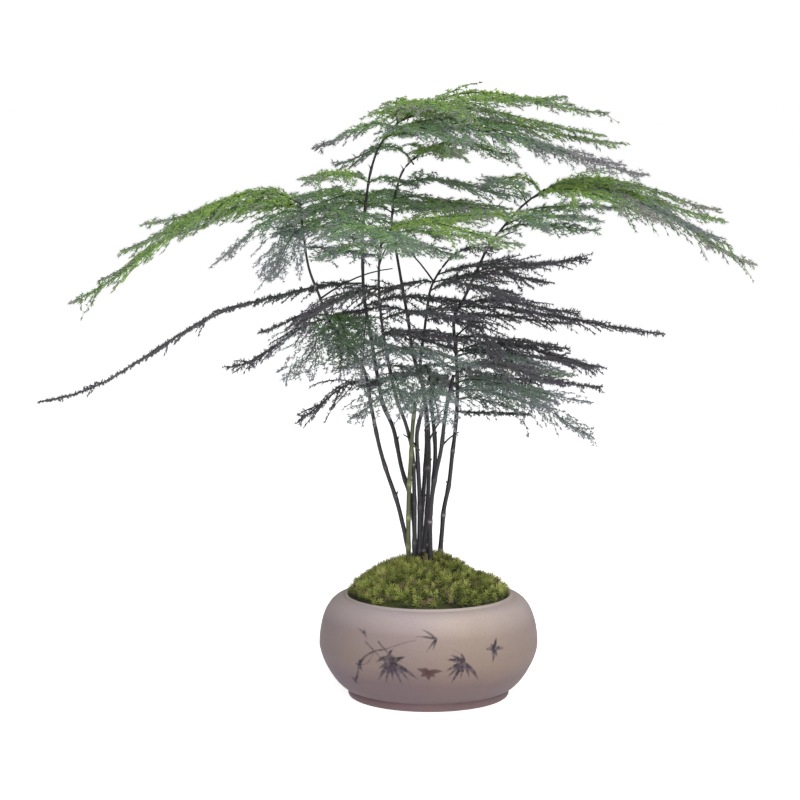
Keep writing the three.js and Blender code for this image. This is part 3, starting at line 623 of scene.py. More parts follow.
# %% Moss
# Painted shade at each leaf's root and a painted highlight at its tip.
ROOT_SHADE_TONE, TIP_HIGHLIGHT_TONE, FRESH_SHARE = 0.02, 0.5, 0.6
leaf_shade_and_highlight = np.array([ROOT_SHADE_TONE, ROOT_SHADE_TONE, ROOT_SHADE_TONE, TIP_HIGHLIGHT_TONE])
moss_green = mottled("moss", {
    0.05: (31, 35, 17), 0.3: (77, 85, 40), 0.55: (123, 133, 64), 0.8: (168, 176, 94), 1.0: (196, 196, 132),
}, 55, 0.62, 0.8)
moss_brown = mottled("moss_brown", {
    0.1: (48, 42, 32), 0.5: (108, 96, 70), 1.0: (164, 148, 112),
}, 90, 0.3, 0.85)
for kind, chosen in ((0, ~withered), (1, withered)):
    roots, tips = leaf_root[chosen].reshape(-1, 3), leaf_tip[chosen].reshape(-1, 3)
    points, triangles = needles(roots, tips, np.full(len(roots), LEAF_WIDTH))
    leaf_tone = np.repeat(fresh[chosen] * FRESH_SHARE, TUFT_LEAVES)[:, None] + leaf_shade_and_highlight
    moss_parts.add(points, triangles, leaf_tone, kind)
moss = piece("moss_cushion", moss_parts, [moss_green, moss_brown], smooth=False)
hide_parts("moss")
print("Triangles in the moss:", len(moss.data.polygons))

# %% [markdown]
# The stems are thin, hard and nearly black, and one of them is still olive green. They rise from one
# crowded root and bend apart. Each one is given by a few points on its middle line, which starts at the
# moss. Some stems also carry a bare side twig.

# %% Lines of the stems
STEMS = {
    "a": [[-12, -3, 86], [-16, -4, 106], [-19, -5, 118], [-25, -7, 136], [-29, -8, 150], [-34, -10, 175],
          [-38, -11, 196], [-49, -12, 212], [-58, -13, 225], [-64, -13, 240], [-70, -13, 256],
          [-73, -12, 275], [-75, -11, 294]],
    "b": [[-8, 6, 86], [-10, 7, 114], [-16, 8, 135], [-21, 8, 159], [-27, 9, 173], [-30, 9, 188],
          [-34, 10, 212], [-38, 10, 235], [-39, 10, 254], [-39, 10, 274], [-37, 9, 294], [-34, 8, 312],
          [-29, 7, 326], [-21, 6, 337], [-10, 5, 345]],
    "c": [[-8.5, -6, 86], [-8.5, -6.5, 119], [-10, -8, 149], [-13.5, -11.5, 164], [-19, -17, 180],
          [-24, -20, 203], [-27, -22, 221], [-29, -24, 241], [-29, -26, 261], [-27, -27, 279]],
    "d": [[-12, -4, 86], [-12, -6, 112], [-11.5, -8.5, 130], [-10.5, -11, 146], [-9.5, -12.5, 164],
          [-8, -13, 177]],
    "e": [[-5.6, -4.4, 86], [-5.4, -5.6, 119], [-6.6, -7, 143], [-7, -12, 159], [-4, -19, 174]],
    "f": [[-5, 10, 86], [-4, 12, 106], [-2, 16, 133], [-1, 19, 156], [-3, 22, 180], [-9, 24, 201],
          [-12, 26, 221], [-15, 28, 238], [-19, 29, 261], [-22, 30, 278], [-19, 30, 300], [-15, 30, 311],
          [-8, 29, 319]],
    "g": [[-3, -2, 86], [-1, -2, 112], [0, -1, 132], [0, 0, 153], [-2, 1, 177], [-5, 2, 198],
          [-3, 1, 215], [-1, 0, 231], [1, -1, 243], [6, -2, 253], [13, -3, 262]],
    "h": [[-1, 4, 86], [1, 6, 107], [3, 9, 128], [4, 12, 145], [3, 15, 160], [1, 18, 176]],
    "i": [[1, -8, 86], [1, -11, 113], [4, -15, 135], [7, -18, 150], [9, -21, 168], [11, -24, 181],
          [14, -27, 195]],
    "j": [[7, 1, 86], [8, 1, 99], [9, 2, 111], [12, 3, 126], [14, 4, 144], [16, 5, 161], [17, 6, 182],
          [16, 6, 206], [15, 7, 225], [21, 7, 237], [28, 8, 252], [35, 8, 267], [45, 8, 280], [56, 7, 292],
          [68, 6, 301]],
}
# Bare side twigs: stem, height of the root and reach of the tip.
TWIGS = [("j", 202, (-12, -4, 17)), ("j", 211, (20, -5, 14)), ("j", 267, (15, -3, 8)),
         ("g", 152, (8, -4, 14)), ("h", 160, (6, -3, 9)), ("d", 150, (5, 3, -3)),
         ("a", 238, (42, 6, 17)), ("g", 246, (-23, -10, 25)), ("c", 256, (5, -2, 12)),
         ("e", 150, (-8, -4, 8)), ("i", 150, (10, -3, 9)), ("b", 172, (-9, -4, 10))]
print("Stems:", len(STEMS), "bare twigs:", len(TWIGS))

# %% [markdown]
# Every two or three centimetres a stem has a node: a slight swelling, a pale ring and a small dry scale
# where a side shoot could start. The scales are single spikes and the bare twigs thin tubes, so both can
# reuse the functions above. All stems are rooted deep in the soil.

# %% Bark, scales and twigs
STEM_STEP = 2.6
ROOT_DEPTH, SOIL_TOP = 38, 56.2
SCALE_TONE, TWIG_TONE = 0.5, 0.2
SCALE_LENGTH, SCALE_WIDTH, SCALE_RISE = 4.2, 1.5, 1.6
TWIG_RINGS, TWIG_SIDES, TWIG_RADII, TWIG_BOW = 7, 5, (0.62, 0.34), 0.3
bark = mottled("bark", {
    0.0: (18, 16, 22), 0.35: (32, 28, 35), 0.6: (62, 58, 61), 0.9: (150, 144, 138)}, 120, 0.4, 0.45, 0.4)
olive_bark = mottled("olive_bark", {
    0.0: (54, 60, 32), 0.35: (84, 93, 51), 0.6: (110, 117, 72), 0.9: (152, 148, 112)}, 120, 0.3, 0.42, 0.45)


def rooted_line(points):
    """A stem's smooth line, from its root in the soil to its tip."""
    points = np.array(points, float)
    x, y = points[0, :2]
    buried = [[x, y, ROOT_DEPTH], [x, y, SOIL_TOP + 6]]
    return spaced(smooth_line(np.concatenate([buried, points])), STEM_STEP)


def add_scales(parts, line, radii, at):
    """Adds a dry scale at each of the places `at` along a stem, pointing up and away to any side."""
    turn = random.uniform(0, TURN, len(at))
    away = np.stack([np.cos(turn), np.sin(turn), np.full(len(turn), SCALE_RISE)], 1)
    points, triangles = needles(line[at], line[at] + unit(away) * SCALE_LENGTH, radii[at] * SCALE_WIDTH)
    parts.add(points, triangles, SCALE_TONE)


def add_twig(parts, line, height, reach):
    """Adds a bare twig that leaves a stem at some height and bows upwards."""
    root = line[np.searchsorted(line[:, 2], height)]
    share = np.linspace(0, 1, TWIG_RINGS)[:, None]
    twig = root + np.array(reach) * share + [0, 0, 1] * share * (1 - share) * TWIG_BOW * np.linalg.norm(reach)
    points, triangles = tubes(twig[None], np.linspace(*TWIG_RADII, TWIG_RINGS)[None], TWIG_SIDES)
    parts.add(points, triangles, TWIG_TONE)


stem_a = walked_along(rooted_line(STEMS["a"]))
print("Length of stem a from its root to its tip:", round(float(stem_a[-1])), "mm")

# %% [markdown]
# The distance to the nearest node gives both the swelling and the pale ring, as two bell curves. Long stems
# end much thinner than short ones. Each stem is one piece: its tube, its scales and its bare twigs.

# %% Stems
STEM_SIDES, STEM_BASE, STEM_TIPS, STEM_LENGTHS, TAPER = 7, 1.5, [1.15, 0.55], [140, 240], 1.3
MOST_NODES, FIRST_NODE, NODE_GAP, BARE_TIP = 16, 8, (17, 27), 4
NODE_SWELLING, NODE_LENGTH, RING_LENGTH = 0.22, 2.2, 1.2
STEM_TONE, RING_TONE = 0.13, 0.65
stem_lines = {}
for name, points in STEMS.items():
    line = rooted_line(points)
    share = np.linspace(0, 1, len(line))
    walked = share * STEM_STEP * len(line)
    tip_radius = np.interp(walked[-1], STEM_LENGTHS, STEM_TIPS)
    nodes_at = np.cumsum(random.uniform(*NODE_GAP, MOST_NODES)) + FIRST_NODE
    nearest = np.abs(walked[:, None] - nodes_at).min(1)
    radii = STEM_BASE + (tip_radius - STEM_BASE) * share ** TAPER
    radii = radii * (1 + NODE_SWELLING * np.exp(-(nearest / NODE_LENGTH) ** 2))
    tone = STEM_TONE + RING_TONE * np.exp(-(nearest / RING_LENGTH) ** 2)
    stem_lines[name] = (line, radii)
    parts = Parts()
    stem_points, stem_triangles = tubes(line[None], radii[None], STEM_SIDES)
    parts.add(stem_points, stem_triangles, np.repeat(tone, STEM_SIDES)[None])
    add_scales(parts, line, radii, np.searchsorted(walked, nodes_at[nodes_at < walked[-1] - BARE_TIP]))
    for stem_name, root_height, reach in TWIGS:
        if stem_name == name:
            add_twig(parts, line, root_height, reach)
    stem = piece("stem_wood_" + name, parts, [olive_bark if name == "d" else bark])
    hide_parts("stem_" + name)
print("Rings in the stems:", {name: len(line) for name, (line, radii) in stem_lines.items()})

# %% [markdown]
# A frond of this plant is a flat spray. Its rib carries small branches left and right, and the branches
# are covered with green needles a few millimetres long. All of it lies in one thin sheet that arches and
# droops. So a frond is laid out flat first, with u along the rib, v across it and w up. One function then
# bends every point of it into the curved sheet.

# %% The sheet of a frond
EDGE_DROOP = 0.1
ARCH_PEAK = 6.75  # t * (1 - t) ** 2 times this peaks at 1


class Sheet:
    """The curved sheet of one frond: its root, the reach of its tip, its arch, width and tilt to one side."""

    def __init__(self, root, reach, arch, width, bank, sway, fade, curl):
        self.root, self.reach, self.arch, self.width = root, reach, arch, width
        self.sway, self.fade, self.curl = sway, fade, curl
        self.length = math.hypot(reach[0], reach[1])
        self.cos, self.sin = reach[0] / self.length, reach[1] / self.length
        self.tilt = math.tan(math.radians(bank))
        self.slope = math.hypot(self.length, reach[2]) / self.length

    def at(self, flat):
        """Bends flat places (u, v, w) into the plant."""
        u, v, w = flat[..., 0], flat[..., 1], flat[..., 2]
        t = u / self.length
        across = v + 4 * self.sway * t * (1 - t)
        line = self.reach[2] * t + ARCH_PEAK * self.arch * t * (1 - t) ** 2
        line = line + np.interp(t, *self.curl)
        z = self.root[2] + line + v * self.tilt - EDGE_DROOP * 2 * v * v / self.width + w
        x = self.root[0] + self.cos * u - self.sin * across
        y = self.root[1] + self.sin * u + self.cos * across
        return np.stack([x, y, z], -1)


level = Sheet((0, 0, 0), (100, 0, 0), 8, 40, 0, 0, 0, ([0], [0]))
third = level.at(np.array([33.3, 0, 0]))
print("Height of an arch of 8 at a third of its length:", round(float(third[2]), 2))

# %% [markdown]
# Six kinds of frond grow on the plant. The sunlit ones are dense, and their bright colour is painted light.
# Those below them are a deeper green, and those in deep shade get a darker green that is painted shade.
# Those that hang towards the viewer are pale and open like lace. The lowest ones lie in shade, and their
# near-black colour is painted shade; they have short needles all round their branches, and two of them
# are drawn out like a rope.

# %% Kinds of frond
# "branch" is the distance between branches, "tuft" between tufts of needles on them, "spread" is how far
# a tuft stands beside its branch. "needles" is the number in a tuft, "needle" their length, "thick" the
# width at their roots and "fan" half the angle they open to. "lift" is how far needles stand out of the
# sheet, "core" is a branch's own half thickness, "wave" is how much branches rise and fall, "hang" counts
# hanging sprigs per 100 mm, "angles" are those of the first and the last branch in degrees, and "sides"
# counts the sides of a branch.
GREEN = dict(branch=2.9, tuft=1.4, spread=2.4, needles=5, needle=2.75, thick=0.68, fan=1.3, lift=0.35,
             core=0.2, wave=0.13, hang=4, angles=(58, 26), sides=3)
KINDS = {
    "bright": {**GREEN, "tuft": 1.55},
    "green": GREEN,
    "pale": dict(branch=2.9, tuft=1.45, spread=2.2, needles=5, needle=2.6, thick=0.6, fan=1.2, lift=0.35,
                 core=0.18, wave=0.1, hang=4, angles=(56, 26), sides=3),
    "dark": dict(branch=3.1, tuft=1.5, spread=0.6, needles=5, needle=2.8, thick=0.64, fan=0.9, lift=0.7,
                 core=0.42, wave=0.2, hang=2, angles=(42, 18), sides=4),
    "rope": dict(branch=2.4, tuft=1.3, spread=0.6, needles=5, needle=2.0, thick=0.8, fan=1.1, lift=1.0,
                 core=0.6, wave=0.22, hang=3, angles=(26, 14), sides=3),
    # The shade kind is the green one, grown again for a darker colour of painted shade.
    "shade": GREEN,
}
print("Kinds of frond:", ", ".join(KINDS))

# %% [markdown]
# The branches leave the rib left and right in turn. They are longest a fifth of the way along and shorten
# to almost nothing at the tip, which gives the frond its slender outline. Each branch starts at a wide
# angle, bends forward and wanders a little, and all together they rise and fall in long waves.

# %% Branches
BRANCH_RINGS = 6
BRANCH_SIZES = [0.6, 0.8, 0.95, 1.1]
LONGEST_AT, LONGEST_SHARE, ROOT_SHARE, TIP_LOSS = 0.2, 0.62, 0.45, 0.88
FIRST_BRANCH, BRANCHED_SHARE, FEWEST_BRANCHES, BRANCH_LEAST = 0.03, 0.94, 4, 2.0
JITTER, ANGLE_SCATTER, WANDER = (0.1, 0.9), 6, 0.11
START_ANGLE, STRAIGHTENING = 1.1, 0.5
WAVES_ALONG, WAVE_SCATTER, BRANCH_SAG = (1.2, 2.6), 0.06, 0.08
s_line = np.linspace(0, 1, BRANCH_RINGS)


def branch_lengths(t, width):
    """Length of the branches at shares t of the rib."""
    rise = np.minimum(1, ROOT_SHARE + (1 - ROOT_SHARE) / LONGEST_AT * t)
    fall = np.where(t < LONGEST_AT, 1, 1 - TIP_LOSS * (t - LONGEST_AT) / (1 - LONGEST_AT))
    return LONGEST_SHARE * width * rise * fall


def grow_branches(sheet, k):
    """Flat lines of a frond's branches, (branches, rings, 3), and their lengths."""
    count = max(FEWEST_BRANCHES, round(sheet.length * sheet.slope / k["branch"]))
    t = FIRST_BRANCH + BRANCHED_SHARE * (np.arange(count) + random.uniform(*JITTER, count)) / count
    side = np.where(np.arange(count) % 2, 1, -1)
    root_angle, tip_angle = k["angles"]
    angle = np.radians(root_angle + (tip_angle - root_angle) * t + random.normal(0, ANGLE_SCATTER, count))
    length = branch_lengths(t, sheet.width) * random.choice(BRANCH_SIZES, count) + BRANCH_LEAST
    wander = np.cumsum(random.normal(0, WANDER, (count, BRANCH_RINGS)), 1)
    bend = angle[:, None] * (START_ANGLE - STRAIGHTENING * s_line) + wander
    step = (length / (BRANCH_RINGS - 1))[:, None]
    u = np.cumsum(np.cos(bend) * step, 1) / sheet.slope
    v = np.cumsum(np.sin(bend) * step, 1)
    u = t[:, None] * sheet.length + u - u[:, :1]
    v = side[:, None] * (v - v[:, :1])
    waves, phase = random.uniform(*WAVES_ALONG), random.uniform(0, TURN, 2)
    wave = k["wave"] * np.sin(TURN * waves * t + phase[(side > 0).astype(int)])
    wave = wave + random.normal(0, WAVE_SCATTER, count)
    w = length[:, None] * (wave[:, None] * s_line - BRANCH_SAG * s_line ** 2)
    return np.stack([u, v, w], -1), length


print("Branches on a frond 50 mm wide, at its root, a fifth along and at its tip:",
      branch_lengths(np.array([0, 0.2, 1]), 50).round(1))

# %% [markdown]
# From some of the branches short sprigs hang down and swing a little forward. To find where a sprig or a tuft
# of needles starts, a helper reads the place and the direction of a line at any share of its length, for
# many lines at once.

# %% Sprigs
SPRIG_PLACES, SPRIG_LEAST, SPRIG_CURL = (0.2, 0.8), 3, 0.4
SPRIG_FORWARD, SPRIG_SIDEWAYS, SPRIG_DOWN = (0.4, 0.3), (0, 0.4), -0.9


def along_line(lines, share):
    """Places on lines (lines, stations, 3) at shares (lines, places), and the way each line runs there."""
    stations = lines.shape[1] - 1
    spot = np.clip(share * stations, 0, stations - 1e-6)
    low = spot.astype(int)
    part = (spot - low)[..., None]
    row = np.arange(len(lines))[:, None]
    start, end = lines[row, low], lines[row, low + 1]
    return start + (end - start) * part, unit(end - start)


def grow_sprigs(branches, count, longest):
    """Flat lines of the sprigs that hang from some of the branches, and their lengths."""
    where = random.integers(0, len(branches), count)
    top, _ = along_line(branches[where], random.uniform(*SPRIG_PLACES, (count, 1)))
    s = np.linspace(0, 1, 4)[:, None]
    fall = random.uniform(SPRIG_LEAST, longest, count)
    way = np.stack([random.normal(*SPRIG_FORWARD, count), random.normal(*SPRIG_SIDEWAYS, count),
                    np.full(count, SPRIG_DOWN)], 1)
    hanging = top + way[:, None] * s * fall[:, None, None]
    hanging[..., 0] += (s[..., 0] ** 2) * SPRIG_CURL * fall[:, None]
    return hanging, fall


halfway, _ = along_line(np.array([[[0, 0, 0], [10.0, 0, 0]]]), np.array([[0.5]]))
print("Halfway along a line of 10 mm:", halfway.ravel())

# %% [markdown]
# Needles grow in small tufts along the branches. A tuft stands a little beside its branch, on one side or
# the other, and its needles open like a fan. The middle needle starts on the branch itself, so it ties the
# tuft to the wood. The tone falls towards the tips, where the real needles are greyer.

# %% Tufts of needles
TUFT_ANGLE, NEEDLE_TURN, NEEDLE_FLATNESS = (46, 10), 0.15, 0.9
NEEDLE_SIZES, THICKNESSES, TONE_SCATTER = (0.6, 1.3), (0.8, 1.2), 0.06
FULL_ROOM, LEAST_ROOM, TUFT_STALK, TIP_SHORTENING = 1.25, 0.12, 0.1, 0.3
TIP_SLOPE, FADE_SLOPE = 1.8, 2.5
TIP_LIGHT = np.array([0, 0, 0, 0.1])


def turned_from(way, angle, lift):
    """Directions turned in the sheet by an angle and raised out of it."""
    cos, sin = np.cos(angle), np.sin(angle)
    x = way[..., 0] * cos - way[..., 1] * sin
    y = way[..., 0] * sin + way[..., 1] * cos
    return unit(np.stack([x, y, way[..., 2] + lift], -1))


def tufts(parts, sheet, lines, lengths, k, gap, first, tones):
    """Sets tufts of needles beside lines from the share `first` on. tones are at the root and at the tip."""
    most = max(1, int(lengths.max() / gap) + 1)
    place = (np.arange(most) + random.uniform(*JITTER, (len(lines), most))) * gap / lengths[:, None]
    keep = (place < 1) & (place > first)
    spots, way = along_line(lines, np.clip(place, 0, 1))
    line = np.nonzero(keep)[0]
    spots, way, place = spots[keep], way[keep], place[keep]
    count, number = len(spots), k["needles"]

    room = k["spread"] * np.clip(FULL_ROOM * (1 - place ** 2), LEAST_ROOM, 1)
    beside = random.uniform(0.1, 1, count) ** 0.8 * room * random.choice([-1, 1], count)
    angle = np.sign(beside) * np.radians(random.normal(*TUFT_ANGLE, count))
    out = turned_from(way, angle, random.normal(0, k["lift"], count))
    heart = spots + out * (np.abs(beside) * FULL_ROOM + TUFT_STALK)[:, None]
    turn = np.linspace(-1, 1, number) * k["fan"] + random.normal(0, NEEDLE_TURN, (count, number))
    needle_way = turned_from(out[:, None], turn, random.normal(0, k["lift"], (count, number)))
    size = k["needle"] * (1 - TIP_SHORTENING * place[:, None])
    size = size * random.uniform(*NEEDLE_SIZES, (count, number))
    tips = heart[:, None] + needle_way * size[..., None]
    roots = np.repeat(heart[:, None], number, 1)
    roots[:, number // 2] = spots
    width = k["thick"] * random.uniform(*THICKNESSES, count * number)
    points, triangles = needles(sheet.at(roots).reshape(-1, 3), sheet.at(tips).reshape(-1, 3), width,
                                NEEDLE_FLATNESS)

    tone = tones[0] + (tones[1] - tones[0]) * np.clip(place * TIP_SLOPE - (TIP_SLOPE - 1), 0, 1)
    tone = tone + random.normal(0, TONE_SCATTER, len(lines))[line] + random.normal(0, TONE_SCATTER, count)
    tone = tone - sheet.fade * np.clip(FADE_SLOPE * spots[:, 0] / sheet.length - 1, 0, 1)
    parts.add(points, triangles, np.repeat(tone, number)[:, None] + TIP_LIGHT)


east, turned = np.array([1.0, 0, 0]), math.radians(TUFT_ANGLE[0])
print("A branch that runs east has its tufts towards:", turned_from(east, turned, 0.0).round(2))

# %% [markdown]
# Now a whole frond can be put together: the wooden rib, the green branches, the hanging sprigs, and tufts
# of needles on all three. The tufts stand closest on the rib, so that no bare line runs through the
# frond.

# %% One frond
RIB_RINGS, RIB_SIDES, RIB_START, RIB_LEAST, RIB_THINNING = 20, 4, -2.0, 0.5, 0.8
RIB_TUFTS, RIB_BARE, BRANCH_BARE, BRANCH_THINNING = 0.6, 0.04, 0.02, 0.5
RIB_TONE, BRANCH_TONE, SPRIG_RADIUS = 0.3, 0.4, 0.16
SPRIG_NEEDLES = dict(spread=1.3, lift=0.6)
LEAFY, HANGING_LEAFY = (0.6, 0.15), (0.4, 0.2)


def spray(sheet, kind, parts, sprigs=None, longest=8):
    """Grows branches and tufts of needles on a sheet and adds them to the parts."""
    k = KINDS[kind]
    branches, length = grow_branches(sheet, k)
    count = sprigs or max(1, round(k["hang"] * sheet.length / 100))
    hanging, fall = grow_sprigs(branches, count, longest)

    rib = np.zeros((1, RIB_RINGS, 3))
    rib[0, :, 0] = np.linspace(RIB_START, sheet.length, RIB_RINGS)
    rib_radii = np.linspace(max(RIB_LEAST, k["core"]), RIB_THINNING * k["core"], RIB_RINGS)[None]
    parts.add(*tubes(sheet.at(rib), rib_radii, RIB_SIDES), RIB_TONE, 1)
    branch_radii = k["core"] * (1 - BRANCH_THINNING * s_line) * np.ones((len(branches), 1))
    parts.add(*tubes(sheet.at(branches), branch_radii, k["sides"]), BRANCH_TONE)
    sprig_radii = np.full((count, 2), SPRIG_RADIUS)
    parts.add(*tubes(sheet.at(hanging[:, ::3]), sprig_radii, 3), BRANCH_TONE)

    tufts(parts, sheet, rib, np.array([sheet.length]), k, RIB_TUFTS * k["tuft"], RIB_BARE, LEAFY)
    tufts(parts, sheet, branches, length, k, k["tuft"], BRANCH_BARE, LEAFY)
    tufts(parts, sheet, hanging, fall, {**k, **SPRIG_NEEDLES}, k["tuft"], 0.0, HANGING_LEAFY)


print("Rings along a rib:", RIB_RINGS)

# %% [markdown]
# The needles are green where they are young and a greyish purple towards the tips. Each kind gets a ramp
# with the greyest shade at tone 0 and the freshest at tone 1. The bright kind's ramp is painted light, and
# the darker ramps of the dark and the shade kind are painted shade; the rope fronds share the dark one.
# The patches of noise are large, so whole twigs differ and not single needles.

# %% Colours of the fronds
PATCH_SCALE = 34
# Share of the patches, roughness and shades.
NEEDLE_COLOURS = {
    # Painted light: the bright shades of the sunlit fronds.
    "bright": (0.55, 0.6, {0.0: (146, 140, 142), 0.2: (126, 138, 120), 0.45: (118, 148, 94),
                           0.7: (138, 172, 88), 1.0: (170, 198, 98)}),
    "green": (0.55, 0.6, {0.0: (140, 136, 142), 0.25: (122, 134, 128), 0.5: (116, 144, 114),
                          0.7: (126, 162, 102), 1.0: (156, 186, 106)}),
    "pale": (0.7, 0.6, {0.0: (130, 126, 137), 0.3: (121, 128, 132), 0.6: (112, 129, 121),
                        1.0: (119, 145, 110)}),
    # Painted shade: the near-black shades of the lowest fronds, also used by the rope fronds.
    "dark": (0.7, 0.65, {0.0: (74, 68, 78), 0.3: (81, 76, 85), 0.6: (84, 87, 91), 1.0: (90, 108, 93)}),
    # Painted shade: the green of the sprays under the crown, made darker.
    "shade": (0.55, 0.6, {0.0: (110, 110, 116), 0.3: (92, 108, 94), 0.6: (84, 116, 76), 1.0: (108, 148, 80)}),
}
frond_materials = {kind: mottled("needles_" + kind, stops, PATCH_SCALE, share, roughness)
                   for kind, (share, roughness, stops) in NEEDLE_COLOURS.items()}
# The rope fronds take the dark kind's painted shade.
frond_materials["rope"] = frond_materials["dark"]
twig_wood = mottled("twig_wood", {
    0.0: (34, 32, 24), 0.4: (58, 66, 38), 0.8: (84, 100, 56), 1.0: (110, 124, 76)}, 80, 0.4, 0.55)
print("Materials of the fronds:", sorted({material.name for material in frond_materials.values()}))

# %% [markdown]
# Every frond of the CAD model is grown again on a sheet of the same place and size. The table follows the
# plant from its crown down to the lowest tier.

# %% Table of the fronds
# Name, stem, height of the root, reach of the tip (x, y, z), arch, width, bank in degrees and kind.
FRONDS = [
    ("top_right", "b", 345, (112, -15, 1), 12, 46, 10, "bright"),
    ("top_right_back", "b", 343.5, (95, 66, 10), 5, 46, 6, "bright"),
    ("top_left_front", "b", 338, (2, -58, 11), 5, 42, 0, "bright"),
    ("top_back", "b", 339, (20, 95, 10), 8, 48, 0, "bright"),
    ("top_front", "b", 342, (36, -84, 4), 8, 46, 0, "bright"),
    ("upper_left", "b", 336, (-46, 24, -13), 5, 38, -8, "green"),
    ("upper_right", "b", 335, (137, 29, -9), 9, 58, 12, "bright"),
    ("upper_right_low", "b", 330, (150, -32, -21), 14, 56, 20, "green"),
    ("upper_front", "b", 328, (48, -84, 2), 8, 48, 0, "green"),
    ("third_right", "f", 319, (58, -19, 2), 8, 46, 8, "bright"),
    ("third_left", "f", 316, (-44, 4, -3), 9, 40, -8, "green"),
    ("third_front", "f", 318, (24, -80, 4), 5, 46, 0, "bright"),
    ("crown_left_front", "b", 303, (-34, -49, 4), 5, 50, -6, "bright"),
    ("left_long", "a", 294, (-133, -9, -56), 19, 56, -15, "bright"),
    ("left_back", "a", 291, (-110, 56, -30), 9, 54, -10, "bright"),
    ("left_front", "a", 287, (-48, -36, -28), 6, 22, -8, "green"),
    ("left_hanging", "a", 274, (-18, -50, -22), 8, 52, 0, "pale"),
    ("crown_left_back", "b", 290, (-54, 38, 1), 6, 54, -12, "green"),
    ("crown_back", "b", 285, (20, 95, 4), 9, 54, 0, "green"),
    ("crown_right", "c", 278.5, (80, -4, 11), 3, 52, 12, "bright"),
    ("crown_right_front", "c", 275, (76, -50, -2), 9, 56, 12, "bright"),
    ("crown_front_left", "c", 272, (-27, -52, 4), 7, 52, -6, "green"),
    ("crown_front", "c", 267, (16, -78, 3), 9, 54, 0, "green"),
    ("crown_back_right", "f", 300, (72, 34, -8), 6, 54, 10, "green"),
    ("right_long", "j", 301, (122, -11, -44), 15, 58, 15, "bright"),
    ("right_front", "j", 297, (70, -58, -12), 7, 52, 8, "bright"),
    ("right_back", "j", 295, (117, 50, -17), 11, 56, 8, "bright"),
    ("right_crest", "j", 293, (-22, -30, 16), 4, 40, 0, "green"),
    ("right_low", "j", 280, (50, -46, 6), 4, 46, 6, "green"),
    ("lower_left_long", "b", 244, (-186, -45, -66), 11, 15, -10, "rope"),
    ("middle_left", "f", 240, (-85, 3, -27), 6, 46, -14, "dark"),
    ("middle_left_front", "c", 238, (-44, -46, -10), 7, 50, -8, "dark"),
    ("middle_right", "g", 245, (88, -14, 15), 1, 54, 16, "dark"),
    ("middle_right_front", "g", 240, (52, -44, -2), 6, 46, 10, "dark"),
    ("middle_right_long", "f", 225, (154, 14, -13), 8, 40, 10, "dark"),
    ("middle_front", "j", 222, (25, -54, -16), 7, 48, 6, "dark"),
    ("lower_left", "a", 224, (-57, -12, -26), 5, 36, -14, "dark"),
    ("lower_left_front", "a", 219, (-22, -46, -22), 9, 54, -6, "pale"),
    ("lower_front_left", "b", 220, (-3, -68, -26), 11, 58, 0, "pale"),
    ("bottom_left", "a", 188, (-38, -20, -12), 5, 38, -16, "dark"),
    ("lower_right", "j", 204, (86, 12, -11), 7, 52, 14, "dark"),
    ("lower_right_front", "i", 194.5, (59, -43, 2), 8, 50, 12, "dark"),
    ("bottom_right", "j", 190, (77, -36, -31), 8, 54, 22, "pale"),
    ("bottom_right_front", "i", 184, (79, -20, -3), 6, 42, 12, "pale"),
    ("bottom_front_left", "d", 176.5, (-35, -42, -3), 11, 48, -6, "pale"),
    ("bottom_front", "e", 173.5, (9, -58, 1), 14, 52, 0, "pale"),
    ("bottom_back", "h", 175.5, (13, 74, -2), 9, 52, 0, "dark"),
]
print("Fronds of the CAD model:", len(FRONDS))

# %% [markdown]
# Between the fronds the real plant has many smaller ones, too thin and too many for the CAD model. They
# fill the tiers so that the foliage reads as clouds of green. These side sprays have the same columns in
# their table, and each name is completed with "side_" in front.

